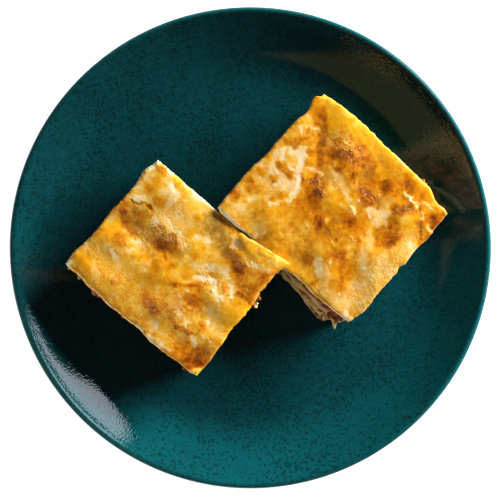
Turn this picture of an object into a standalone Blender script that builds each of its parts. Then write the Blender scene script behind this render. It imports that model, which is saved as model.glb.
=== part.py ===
"""Two squares of baked lasagne, leaning on each other on a round stoneware coupe plate.

Each square is a stack of seven solids that run right through it: four pasta sheets, the
uppermost baked into the browned cheese, with three layers of meat sauce between them.
The origin is the middle of the plate's foot, +Z is up, and +Y points away from the diner.
"""

import math
from dataclasses import dataclass

import bmesh
import bpy
import numpy as np

MM = 0.001
SHARP_FROM = math.radians(40)

# Plate, all round
PLATE_RADIUS = 135 * MM
PLATE_HEIGHT = 24 * MM
WELL_RADIUS = 92 * MM
WELL_FLOOR = 8 * MM
PLATE_THICKNESS = 5 * MM
LIP_RADIUS = 2.1 * MM
RIM_SLOPE = math.radians(40)
FOOT_RADIUS = 75 * MM
FOOT_WIDTH = 7 * MM
FOOT_HEIGHT = 3 * MM
FOOT_CHAMFER = 0.8 * MM
PLATE_SEGMENTS = 56
WALL_STEPS = 7
LIP_STEPS = 5

# Stack, from the plate up: pasta sheets and meat sauce by turns, then the browned top
LAYER_NAMES = ("sheet_1", "meat_1", "sheet_2", "meat_2", "sheet_3", "meat_3", "top")
LAYER_DEPTHS = np.array((1.7, 6.3, 1.8, 5.9, 1.8, 5.6, 3.0)) * MM
LAYER_GAP = 0.3 * MM
TOUCH_GAP = 0.5 * MM

# How far inside its quadrilateral each layer ends, and how far each has slid from the
# corners of the top towards the corners at the floor
LAYER_INSETS = np.array((0.5, 1.0, 0.3, 0.9, 0.2, 0.6, 0.0)) * MM
LAYER_SLIDES = np.array((1.0, 0.95, 0.9, 0.7, 0.52, 0.2, 0.0))

# Shape of a cut square
POINTS_PER_SIDE = 15
CORNER_CROWDING = 0.4
CORNER_PULL = 0.5 * MM
CORNER_REACH = 3 * MM
EDGE_WAVE = 0.4 * MM
SHEET_WAVE = 0.6 * MM
MEAT_BULGE = 0.7 * MM
MEAT_SIDE_RINGS = (1 / 3, 2 / 3)
TOP_ROUNDING = 0.7 * MM
EDGE_THICKNESS = 2 * MM
EDGE_DROOP = 1.1 * MM
EDGE_DROOP_REACH = 5 * MM
RIPPLE_HEIGHT = 0.45 * MM
RIPPLE_WAVES = 9
INNER_RING = 0.82
TOP_RINGS = (0.975, 0.93, 0.86, 0.76, 0.63, 0.47, 0.27)

# Line along which the squares press on each other, under their tops and on the plate, how
# near each comes to it, and the left one's tip, which lies on the right one
CONTACT_TOP = np.array(((-17.9, 19.8), (16.9, -10.1))) * MM
CONTACT_FLOOR = np.array(((-15.5, 17.5), (14.3, -12.2))) * MM
LEFT_LIMIT = -0.1 * MM
RIGHT_LIMIT = 0.6 * MM
TIP_FROM = 22 * MM
TIP_RUN = 24 * MM
TIP_ROOT = 6.5 * MM
TIP_ACROSS = 4.1 * MM
TIP_ALONG = 3.1 * MM


@dataclass
class Square:
    """One cut square, its measures in mm.

    Its corners, of the top and of the lowest sheet, go anticlockwise from the far one, and
    side 0 follows corner 0. bows are how far the sides swell out at their middles. humps are
    (x, y, radius, height) of the rises and dips of the top. bits are (layer, side, distance
    along it, half width, reach) of the crumbs and flaps that stick out of the sides, where
    the layer "slid" means every layer as far as it has slid.
    """

    name: str
    top_corners: tuple
    floor_corners: tuple
    bows: tuple
    top: float
    humps: tuple
    bits: tuple
    seed: int


LEFT = Square(
    name="left",
    top_corners=((-51.5, 48.5), (-102.4, -8.8), (-29.8, -71.4), (16.9, -10.1)),
    floor_corners=((-51.4, 46.5), (-99.5, -9.0), (-29.9, -67.8), (13.8, -13.8)),
    bows=(0.0, 1.5, 0.0, 0.0),
    top=33.4,
    humps=(
        (13, -9, 13, 2.4),
        (-17, 15, 12, -2.4),
        (-63, 14, 9, -1.2),
        (-46, 1, 7, -1.3),
        (-58, 27, 8, 0.9),
        (-19, -25, 9, 1.3),
        (-31, -66, 10, -1.5),
        (-84, -10, 10, 0.6),
        (-52, -27, 11, 0.8),
    ),
    bits=(
        ("all", 0, 11, 11, 1.9),
        ("meat_3", 1, 24.7, 6, 2.6),
        ("meat_3", 1, 42.5, 5, 2.6),
        ("meat_3", 1, 88, 4, 2.2),
        ("meat_3", 2, 53.6, 6, 2.6),
        ("sheet_3", 2, 61, 4, 1.2),
    ),
    seed=11,
)

RIGHT = Square(
    name="right",
    top_corners=((40.4, 84.5), (-18.6, 22.1), (54.6, -41.6), (108.6, 18.7)),
    floor_corners=((40.1, 82.0), (-14.5, 20.9), (39.8, -41.3), (104.8, 18.4)),
    bows=(0.8, 0.4, 1.0, 3.7),
    top=34.5,
    humps=(
        (49, 67, 13, 1.0),
        (53, 51, 9, 0.7),
        (27, 7, 13, -0.7),
        (67, -5, 9, 1.2),
        (84, 18, 8, 1.3),
        (104, 18, 11, -1.8),
        (3, 6, 8, -0.8),
        (19, -9, 9, -1.9),
        (-14, 19, 7, 0.9),
        (41, 30, 9, 0.8),
        (54, -38, 9, -1.6),
    ),
    bits=(
        ("slid", 2, 15, 16, 6.5),
        ("all", 2, 14, 10, 1.2),
        ("all", 2, 41.6, 4, -1.4),
        ("sheet_3", 2, 2, 5, 5.2),
        ("meat_3", 2, 68, 9, 2.4),
        ("meat_3", 3, 20, 5, 2.4),
        ("meat_3", 3, 28, 4, 2.0),
    ),
    seed=23,
)

# Finishes: colour, roughness
GLAZE = ((0.008, 0.072, 0.082), 0.22)
CRUST = ((0.72, 0.36, 0.05), 0.42)
PASTA = ((0.74, 0.55, 0.28), 0.5)
MEAT = ((0.24, 0.075, 0.025), 0.6)


def clear_scene():
    """Removes every object that is in the file at the start."""
    for obj in list(bpy.data.objects):
        bpy.data.objects.remove(obj, do_unlink=True)


def finish_material(name, finish):
    """A plain Principled material of one colour and roughness."""
    colour, roughness = finish
    material = bpy.data.materials.new(name)
    material.use_nodes = True
    shader = material.node_tree.nodes["Principled BSDF"]
    shader.inputs["Base Color"].default_value = (*colour, 1)
    shader.inputs["Roughness"].default_value = roughness
    shader.inputs["Metallic"].default_value = 0
    return material


def link_object(name, mesh, material):
    """Puts a mesh into the scene, shaded smooth but for its sharp edges."""
    mesh.materials.append(material)
    mesh.shade_smooth()
    mesh.set_sharp_from_angle(angle=SHARP_FROM)
    bpy.context.scene.collection.objects.link(bpy.data.objects.new(name, mesh))


# Plate


def wall_shape():
    """Radius and height at which the inside wall ends, and the power of its curve."""
    end_radius = PLATE_RADIUS - LIP_RADIUS * (1 + math.sin(RIM_SLOPE))
    end_height = PLATE_HEIGHT - LIP_RADIUS * (1 - math.cos(RIM_SLOPE))
    power = math.tan(RIM_SLOPE) * (end_radius - WELL_RADIUS) / (end_height - WELL_FLOOR)
    return end_radius, end_height, power


def plate_surface(radius):
    """Height of the plate's upper face: flat in the well, then a power curve to the lip."""
    end_radius, end_height, power = wall_shape()
    share = np.clip((radius - WELL_RADIUS) / (end_radius - WELL_RADIUS), 0, 1)
    return WELL_FLOOR + (end_height - WELL_FLOOR) * share**power


def plate_profile():
    """(radius, height) from the middle of the underside, round the lip, to the well's middle."""
    end_radius, _, power = wall_shape()
    foot_inner = FOOT_RADIUS - FOOT_WIDTH
    points = [
        (0, FOOT_HEIGHT),
        (foot_inner - FOOT_CHAMFER, FOOT_HEIGHT),
        (foot_inner, FOOT_CHAMFER),
        (foot_inner + FOOT_CHAMFER, 0),
        (FOOT_RADIUS - FOOT_CHAMFER, 0),
        (FOOT_RADIUS, FOOT_CHAMFER),
        (FOOT_RADIUS + FOOT_CHAMFER, FOOT_HEIGHT),
    ]
    inside = []
    for step in range(WALL_STEPS + 1):
        share = step / WALL_STEPS
        radius = WELL_RADIUS + share * (end_radius - WELL_RADIUS)
        inside.append((radius, float(plate_surface(radius)), share))
    for radius, height, share in inside[:-1]:
        slope = math.atan(math.tan(RIM_SLOPE) * share ** (power - 1))
        depth = PLATE_THICKNESS + share * (2 * LIP_RADIUS - PLATE_THICKNESS)
        points.append((radius + depth * math.sin(slope), height - depth * math.cos(slope)))
    lip_radius, lip_height = PLATE_RADIUS - LIP_RADIUS, PLATE_HEIGHT - LIP_RADIUS
    for step in range(LIP_STEPS + 1):
        angle = RIM_SLOPE - math.pi / 2 + math.pi * step / LIP_STEPS
        across, up = LIP_RADIUS * math.cos(angle), LIP_RADIUS * math.sin(angle)
        points.append((lip_radius + across, lip_height + up))
    points += [(radius, height) for radius, height, _ in reversed(inside[:-1])]
    points.append((0, WELL_FLOOR))
    return points


def make_plate(material):
    """The plate, its profile spun round the vertical axis."""
    form = bmesh.new()
    verts = [form.verts.new((radius, 0, height)) for radius, height in plate_profile()]
    edges = [form.edges.new(pair) for pair in zip(verts, verts[1:])]
    bmesh.ops.spin(
        form,
        geom=verts + edges,
        axis=(0, 0, 1),
        cent=(0, 0, 0),
        angle=2 * math.pi,
        steps=PLATE_SEGMENTS,
        use_merge=True,
    )
    bmesh.ops.remove_doubles(form, verts=form.verts, dist=0.01 * MM)
    bmesh.ops.recalc_face_normals(form, faces=form.faces)
    mesh = bpy.data.meshes.new("plate")
    form.to_mesh(mesh)
    form.free()
    link_object("plate", mesh, material)


# Squares of lasagne


def smooth_step(value):
    share = np.clip(value, 0, 1)
    return share * share * (3 - 2 * share)


def contact_axes(layer):
    """Start, way along, and way across to the right square, of the line between the squares."""
    slide = LAYER_SLIDES[LAYER_NAMES.index(layer)]
    start, end = CONTACT_TOP + (CONTACT_FLOOR - CONTACT_TOP) * slide
    along = (end - start) / np.linalg.norm(end - start)
    return start, along, np.array((-along[1], along[0]))


def contact_place(layer, points):
    """Distance along the line between the squares, and across it to the right square."""
    start, along, across = contact_axes(layer)
    return (points - start) @ along, (points - start) @ across


def quadrilateral(square, layer):
    """A layer's corners, from the far one anticlockwise, with its sides and outward normals."""
    top, floor = np.array((square.top_corners, square.floor_corners)) * MM
    corners = top + (floor - top) * LAYER_SLIDES[LAYER_NAMES.index(layer)]
    sides = np.roll(corners, -1, axis=0) - corners
    lengths = np.linalg.norm(sides, axis=1)
    normals = np.column_stack((sides[:, 1], -sides[:, 0])) / lengths[:, None]
    return corners, sides, lengths, normals


def middle_of(square):
    return quadrilateral(square, "top")[0].mean(axis=0, keepdims=True)


def perimeter_samples(square):
    """Side number and share of its length for each outline point, closer at the corners."""
    lengths = quadrilateral(square, "top")[2] / MM
    steps = np.arange(POINTS_PER_SIDE) / POINTS_PER_SIDE
    eased = steps - CORNER_CROWDING * np.sin(2 * math.pi * steps) / (2 * math.pi)
    samples = []
    for side, length in enumerate(lengths):
        shares = list(eased)
        for layer, bit_side, distance, _, _ in square.bits:
            if bit_side == side and layer in LAYER_NAMES:
                nearest = min(shares[1:], key=lambda share: abs(share - distance / length))
                shares[shares.index(nearest)] = distance / length
        samples += [(side, share) for share in sorted(shares)]
    sides, shares = zip(*samples)
    return np.array(sides), np.array(shares)


def wave(places, seed, shortest, longest, count=5):
    """A sum of sines of random length and phase, of about unit size, over a distance."""
    draw = np.random.default_rng(seed)
    lengths = draw.uniform(shortest, longest, count)
    phases = draw.uniform(0, 2 * math.pi, count)
    return np.sin(2 * math.pi * places[:, None] / lengths + phases).sum(axis=1) / math.sqrt(count)


def guide_ring(square):
    """The plain edge of the square's top seen from above, its corners a little pulled in."""
    corners, directions, lengths, normals = quadrilateral(square, "top")
    sides, shares = perimeter_samples(square)
    points = corners[sides] + directions[sides] * shares[:, None]
    places = shares * lengths[sides]
    for turned, distance in ((-1, places), (1, lengths[sides] - places)):
        pull = CORNER_PULL * np.exp(-((distance / CORNER_REACH) ** 2))
        points -= (normals[sides] + normals[(sides + turned) % 4]) * pull[:, None]
    return points


def cast_to_sides(square, layer):
    """Where the guide ring's rays from the square's middle meet a layer's quadrilateral.

    Gives the points, which side each is on, how far along it, and how square the ray meets it.
    """
    corners, directions, lengths, normals = quadrilateral(square, layer)
    middle = middle_of(square)
    rays = guide_ring(square) - middle
    rays /= np.linalg.norm(rays, axis=1)[:, None]
    facing = rays @ normals.T
    depth = ((corners - middle) * normals).sum(axis=1)
    reaches = np.where(facing > 0, depth / np.where(facing > 0, facing, 1), np.inf)
    sides = reaches.argmin(axis=1)
    points = middle + rays * reaches.min(axis=1)[:, None]
    along = directions[sides] / lengths[sides][:, None]
    places = ((points - corners[sides]) * along).sum(axis=1)
    return points, sides, places, facing[np.arange(len(rays)), sides]


def outline(square, layer):
    """The edge of one layer: inset, bowed, uneven, and with its bits.

    Each point lies on its ray from the square's middle, so that the layers match.
    """
    index = LAYER_NAMES.index(layer)
    lengths = quadrilateral(square, layer)[2]
    points, sides, places, facing = cast_to_sides(square, layer)
    around = places + np.concatenate(([0], np.cumsum(lengths)))[sides]
    reach = EDGE_WAVE * wave(around, square.seed * 10 + index, 9 * MM, 40 * MM)
    reach += np.array(square.bows)[sides] * MM * (1 - (2 * places / lengths[sides] - 1) ** 4)
    reach -= LAYER_INSETS[index]
    shares_taken = {"all": 1, "slid": LAYER_SLIDES[index], layer: 1}
    for name, side, distance, half_width, size in square.bits:
        near = np.clip(np.abs(places / MM - distance) / half_width, 0, 1)
        bump = size * MM * np.cos(near * math.pi / 2) ** 2
        reach += bump * (sides == side) * shares_taken.get(name, 0)
    spokes = points - middle_of(square)
    stretch = 1 + reach / facing / np.linalg.norm(spokes, axis=1)
    points = keep_apart(square, layer, middle_of(square) + spokes * stretch[:, None])
    if square is LEFT and layer == "top":
        points += tip_shift(points)
    return points


def keep_apart(square, layer, points):
    """Draws an outline in along its rays to its own side of the line between the squares.

    The right square is free of it where it reaches past the left one's near corner.
    """
    limit = RIGHT_LIMIT if square is RIGHT else LEFT_LIMIT
    line_length = np.linalg.norm(CONTACT_TOP[1] - CONTACT_TOP[0])
    start = contact_place(layer, middle_of(square))[1]
    place, distance = contact_place(layer, points)
    beyond = (distance - limit) * (limit - start) > 0
    if square is RIGHT:
        beyond &= place < line_length
    scale = np.where(beyond, (limit - start) / np.where(beyond, distance - start, 1), 1)
    return middle_of(square) + (points - middle_of(square)) * scale[:, None]


def tip_share(points):
    """How far along its reach over the right square the left top's tip is: 0 to 1."""
    place, distance = contact_place("top", points)
    return np.clip((place - TIP_FROM) / TIP_RUN, 0, 1) * smooth_step(1 + distance / TIP_ROOT)


def tip_shift(points):
    """The shift that carries the left top's corner out over the right square."""
    _, along, across = contact_axes("top")
    return tip_share(points)[:, None] * (TIP_ACROSS * across + TIP_ALONG * along)


def ripple(square, points):
    """Random low swells of unit size, from seeded plane waves."""
    draw = np.random.default_rng(square.seed)
    lengths = draw.uniform(18, 42, RIPPLE_WAVES) * MM
    angles = draw.uniform(0, 2 * math.pi, RIPPLE_WAVES)
    phases = draw.uniform(0, 2 * math.pi, RIPPLE_WAVES)
    ways = np.column_stack((np.cos(angles), np.sin(angles))) / lengths[:, None]
    return np.sin(2 * math.pi * points @ ways.T + phases).sum(axis=1) / math.sqrt(RIPPLE_WAVES)


def swollen_height(square, points):
    """Height of the browned top with its swells and humps, before its edges droop."""
    height = np.full(len(points), square.top * MM)
    height += RIPPLE_HEIGHT * ripple(square, points)
    for x, y, radius, rise in square.humps:
        away = np.linalg.norm(points - np.array((x, y)) * MM, axis=1) / (radius * MM)
        height += rise * MM * np.exp(-(away**2))
    return height


def top_height(square, points):
    """Height of the browned top, which droops a little at the cut edges."""
    corners, _, _, normals = quadrilateral(square, "top")
    inward = [(corner - points) @ normal for corner, normal in zip(corners, normals)]
    inside = np.clip(np.min(inward, axis=0) / EDGE_DROOP_REACH, 0, 1)
    return swollen_height(square, points) - EDGE_DROOP * (1 - inside) ** 2


def level_height(square, level, points):
    """Height of the surface under layer number level, between the plate and the browned top."""
    floor = plate_surface(np.linalg.norm(points, axis=1)) + LAYER_GAP
    share = LAYER_DEPTHS[:level].sum() / LAYER_DEPTHS.sum()
    return floor + (swollen_height(square, points) - floor) * share


def sheet_swell(square, level, points):
    """How far the pasta sheet that this level bounds is waved up or down at the cut sides."""
    if level < 2 or level > 5:
        return np.zeros(len(points))
    offset = points - middle_of(square)
    around = np.arctan2(offset[:, 1], offset[:, 0])
    phase = square.seed + 2.3 * (level // 2)
    return SHEET_WAVE * (np.sin(5 * around + phase) + 0.6 * np.sin(8 * around - phase))


def face_rings(square, level, edge, offset):
    """Outer and inner ring of one face of a layer, and its middle point.

    Both faces that meet at a level are ruled through the same guide ring, so that they stay
    a gap apart however far their edges reach.
    """
    centre = middle_of(square)
    guide = guide_ring(square)
    inner = centre + (guide - centre) * INNER_RING
    swell = sheet_swell(square, level, guide)
    guide_height = level_height(square, level, guide) + swell
    inner_height = level_height(square, level, inner) + swell * INNER_RING
    span = guide - inner
    share = ((edge - inner) * span).sum(axis=1) / (span * span).sum(axis=1)
    edge_height = inner_height + (guide_height - inner_height) * share
    middle_height = level_height(square, level, centre)
    return (
        raised(edge, edge_height + offset),
        raised(inner, inner_height + offset),
        raised(centre, middle_height + offset),
    )


def raised(points, heights):
    return np.column_stack((points, heights))


def loft(name, rings, bottom_pole, top_pole, material):
    """A closed solid through rings of points, from the lowest up, with a fan at each end.

    The bands of its upper half are split the other way from those of its lower half, so that
    the faces of two layers that lie on each other are split alike.
    """
    count = len(rings[0])
    points = np.vstack([*rings, bottom_pole, top_pole])
    base, peak = len(points) - 2, len(points) - 1
    here = np.arange(count)
    following = (here + 1) % count
    faces = [np.column_stack((np.full(count, base), following, here))]
    for level in range(len(rings) - 1):
        low, high = level * count, (level + 1) * count
        here_low, next_low, next_high, here_high = (
            low + here, low + following, high + following, high + here,
        )
        if level < len(rings) // 2:
            faces.append(np.column_stack((here_low, next_low, next_high)))
            faces.append(np.column_stack((here_low, next_high, here_high)))
        else:
            faces.append(np.column_stack((here_low, next_low, here_high)))
            faces.append(np.column_stack((next_low, next_high, here_high)))
    last = (len(rings) - 1) * count
    faces.append(np.column_stack((np.full(count, peak), last + here, last + following)))
    mesh = bpy.data.meshes.new(name)
    mesh.from_pydata(points.tolist(), [], np.vstack(faces).tolist())
    mesh.validate()
    link_object(name, mesh, material)


def outward_normals(edge):
    """Outward directions at the points of an anticlockwise outline."""
    way = np.roll(edge, -1, axis=0) - np.roll(edge, 1, axis=0)
    normals = np.column_stack((way[:, 1], -way[:, 0]))
    return normals / np.linalg.norm(normals, axis=1)[:, None]


def make_filling_layer(square, layer, material):
    """A pasta sheet or a layer of meat sauce, which has a lumpy side between its two faces."""
    index = LAYER_NAMES.index(layer)
    edge = outline(square, layer)
    low, low_inner, bottom = face_rings(square, index, edge, LAYER_GAP / 2)
    high, high_inner, top = face_rings(square, index + 1, edge, -LAYER_GAP / 2)
    side_rings = []
    if layer.startswith("meat"):
        draw = np.random.default_rng(square.seed * 100 + index)
        normals = outward_normals(edge)
        for share in MEAT_SIDE_RINGS:
            ring = low * (1 - share) + high * share
            out = MEAT_BULGE * draw.uniform(-1, 1, len(edge))
            ring[:, :2] = keep_apart(square, layer, ring[:, :2] + normals * out[:, None])
            side_rings.append(ring)
    rings = [low_inner, low, *side_rings, high, high_inner]
    loft(f"{square.name}_{layer}", rings, bottom, top, material)


def make_top(square, material):
    """The uppermost sheet with its browned cheese: relief above, and a thin rounded edge."""
    centre = middle_of(square)
    edge = outline(square, "top")
    low, low_inner, bottom = face_rings(square, LAYER_NAMES.index("top"), edge, LAYER_GAP / 2)
    if square is LEFT:
        for ring in (low, low_inner):
            place, distance = contact_place("top", ring[:, :2])
            over = (place > TIP_FROM - TIP_ROOT) & (distance > -TIP_ROOT)
            resting = top_height(RIGHT, ring[:, :2]) + TOUCH_GAP
            ring[:, 2] = np.where(over, np.maximum(ring[:, 2], resting), ring[:, 2])
    edge_top = np.maximum(top_height(square, edge), low[:, 2] + EDGE_THICKNESS)
    rings = [low_inner, low, raised(edge, edge_top - TOP_ROUNDING)]
    for fraction in TOP_RINGS:
        ring = centre + (edge - centre) * fraction
        rings.append(raised(ring, top_height(square, ring)))
    peak = raised(centre, top_height(square, centre))
    loft(f"{square.name}_top", rings, bottom, peak, material)


def make_square(square, materials):
    for layer in LAYER_NAMES[:-1]:
        make_filling_layer(square, layer, materials["meat" if "meat" in layer else "pasta"])
    make_top(square, materials["crust"])


def main():
    clear_scene()
    finishes = {"glaze": GLAZE, "crust": CRUST, "pasta": PASTA, "meat": MEAT}
    materials = {name: finish_material(name, finish) for name, finish in finishes.items()}
    make_plate(materials["glaze"])
    for square in (LEFT, RIGHT):
        make_square(square, materials)


main()
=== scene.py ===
"""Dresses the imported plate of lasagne: two baked squares on a speckled stoneware plate.

Every piece is a surface worked out with numpy on a grid, in metres, in the CAD model's frame:
the origin is the middle of the plate's foot, +Z is up, and +Y points away from the diner.
"""

import itertools
import math
from dataclasses import dataclass

import bpy
import numpy as np
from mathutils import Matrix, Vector


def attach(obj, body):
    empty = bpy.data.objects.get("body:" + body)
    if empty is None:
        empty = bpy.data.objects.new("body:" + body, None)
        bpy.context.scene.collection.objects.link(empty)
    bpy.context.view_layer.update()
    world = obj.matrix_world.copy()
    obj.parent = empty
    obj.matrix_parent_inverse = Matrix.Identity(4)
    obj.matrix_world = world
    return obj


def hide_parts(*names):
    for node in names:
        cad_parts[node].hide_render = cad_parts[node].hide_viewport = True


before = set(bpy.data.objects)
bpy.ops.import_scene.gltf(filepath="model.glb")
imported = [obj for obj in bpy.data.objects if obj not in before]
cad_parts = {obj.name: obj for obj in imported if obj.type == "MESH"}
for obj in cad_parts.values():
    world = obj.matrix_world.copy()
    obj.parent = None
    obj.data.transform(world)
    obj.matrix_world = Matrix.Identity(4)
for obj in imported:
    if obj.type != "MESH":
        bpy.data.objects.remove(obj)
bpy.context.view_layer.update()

MM = 0.001

# Plate
PLATE_RADIUS = 135 * MM
PLATE_HEIGHT = 24 * MM
WELL_RADIUS = 92 * MM
WELL_FLOOR = 8 * MM
PLATE_THICKNESS = 5 * MM
LIP_RADIUS = 2.1 * MM
RIM_SLOPE = math.radians(40)
FOOT_RADIUS = 75 * MM
FOOT_WIDTH = 7 * MM
FOOT_HEIGHT = 3 * MM
FOOT_CHAMFER = 0.8 * MM
BARE_HEIGHT = 0.5 * MM
BARE_FADE = 0.3 * MM
RIM_WIDTH = 2.6 * MM
RIM_FROM_HEIGHT = 15 * MM
WALL_FROM = 4 * MM
WALL_FADE = 20 * MM
NEAR_WAY = (0.45, -0.9, 0.0)
NEAR_FADE = 80 * MM
# Strength of the painted light on the near walls and of the painted shade on the far walls
NEAR_WALL_LIGHT = 0.4
FAR_WALL_SHADE = 0.05
PLATE_SEGMENTS = 320
WALL_STEPS = 44
LIP_STEPS = 12

# Stack, from the plate up: pasta sheets and meat sauce by turns, then the browned top
LAYER_NAMES = ("sheet_1", "meat_1", "sheet_2", "meat_2", "sheet_3", "meat_3", "top")
LAYER_DEPTHS = np.array((1.7, 6.3, 1.8, 5.9, 1.8, 5.6, 3.0)) * MM
LAYER_INSETS = np.array((0.5, 1.0, 0.3, 0.9, 0.2, 0.6, 0.0)) * MM
LAYER_SLIDES = np.array((1.0, 0.95, 0.9, 0.7, 0.52, 0.2, 0.0))
STAND_CLEAR = 0.3 * MM
LAYER_SEAM = 0.05 * MM

# Cut squares
CORNER_PULL = 0.5 * MM
CORNER_REACH = 3 * MM
EDGE_WAVE = 0.4 * MM
EDGE_NICK = 0.22 * MM
EDGE_NICK_SIZE = 3.4 * MM
SHEET_WAVE = 0.6 * MM
TOP_ROUNDING = 0.6 * MM
ROUNDING_REACH = 1.0 * MM
EDGE_LEAST = 0.9 * MM
SKIRT_SWELL = 0.3
SKIRT_GRAIN = 0.22
SKIRT_GRAIN_SIZE = 1.8 * MM
RAGGED_RISE = 0.22 * MM
RAGGED_SIZE = 3.2 * MM
RIM_STRIP = 0.8 * MM
RIM_STRIP_PATCH = 3 * MM
RIM_CREAM = 0.9
UNDERSIDE_VALUE = 0.4
TIP_THICKNESS = 1.6 * MM
EDGE_DROOP = 0.5 * MM
EDGE_DROOP_REACH = 3.5 * MM
RIPPLE_HEIGHT = 0.45 * MM
RIPPLE_WAVES = 9
INNER_RING = 0.82
TOP_GRID = (284, 284)
TOP_SIDE_RINGS = 7
SIDE_POINTS = 230
SHEET_RINGS = 7
MEAT_RINGS = 15
MEAT_GROOVE = 1.4 * MM
MEAT_CRUMB = 2.9 * MM
SMALL_CRUMB = 1.3 * MM
MEAT_SWELL = 6 * MM
SHEET_ROUNDING = 0.45 * MM
SHEET_GRAIN = 0.14 * MM
SHEET_GRAIN_SIZE = 1.6 * MM
LUMP_GRID = (9, 16)

# Sizes of what shows on the browned skin
BROWN_PATCH = 8 * MM
FINE_PATCH = 2.4 * MM
DIMPLE = 7 * MM
CREAM_PATCH = 4.4 * MM
GOLD_PATCH = 8 * MM
OLIVE_PATCH = 11 * MM
BLISTER = 2.9 * MM
BLISTERED_PATCH = 12 * MM
PEARL = 1.15 * MM
STROKE_WANDER = 0.9
STROKE_WANDER_SIZE = 2.2 * MM
STROKE_END = 1.7
STROKE_FADE = 1.35

# Line along which the squares press on each other, and the left one's tip
CONTACT_TOP = np.array(((-17.9, 19.8), (16.9, -10.1))) * MM
CONTACT_FLOOR = np.array(((-15.5, 17.5), (14.3, -12.2))) * MM
LEFT_LIMIT = -0.1 * MM
RIGHT_LIMIT = 0.6 * MM
TIP_FROM = 22 * MM
TIP_RUN = 24 * MM
TIP_ROOT = 6.5 * MM
TIP_ACROSS = 4.1 * MM
TIP_ALONG = 3.1 * MM
TOUCH_GAP = 0.15 * MM


@dataclass
class Square:
    """One cut square, its measures in mm.

    Its corners, of the top and of the lowest sheet, go anticlockwise from the far one, and
    side 0 follows corner 0. bows are how far the sides swell out at their middles. humps are
    (x, y, radius, height) of the rises and dips of the top. bits are (layer, side, distance
    along it, half width, reach) of the crumbs and flaps that stick out of the sides. rims say
    how pale each side's cut edge is, grain how rough the top's skin is, and browning how dark
    it baked. crumbs are (layer, x, y, z, radius) of lumps stuck to the sides. marks lists, for
    each kind of mark on the top, (x, y, end x, end y, half width, strength) of its strokes.
    """

    name: str
    top_corners: tuple
    floor_corners: tuple
    bows: tuple
    top: float
    humps: tuple
    bits: tuple
    seed: int
    rims: tuple
    grain: float
    browning: float
    crumbs: tuple
    marks: dict


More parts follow.
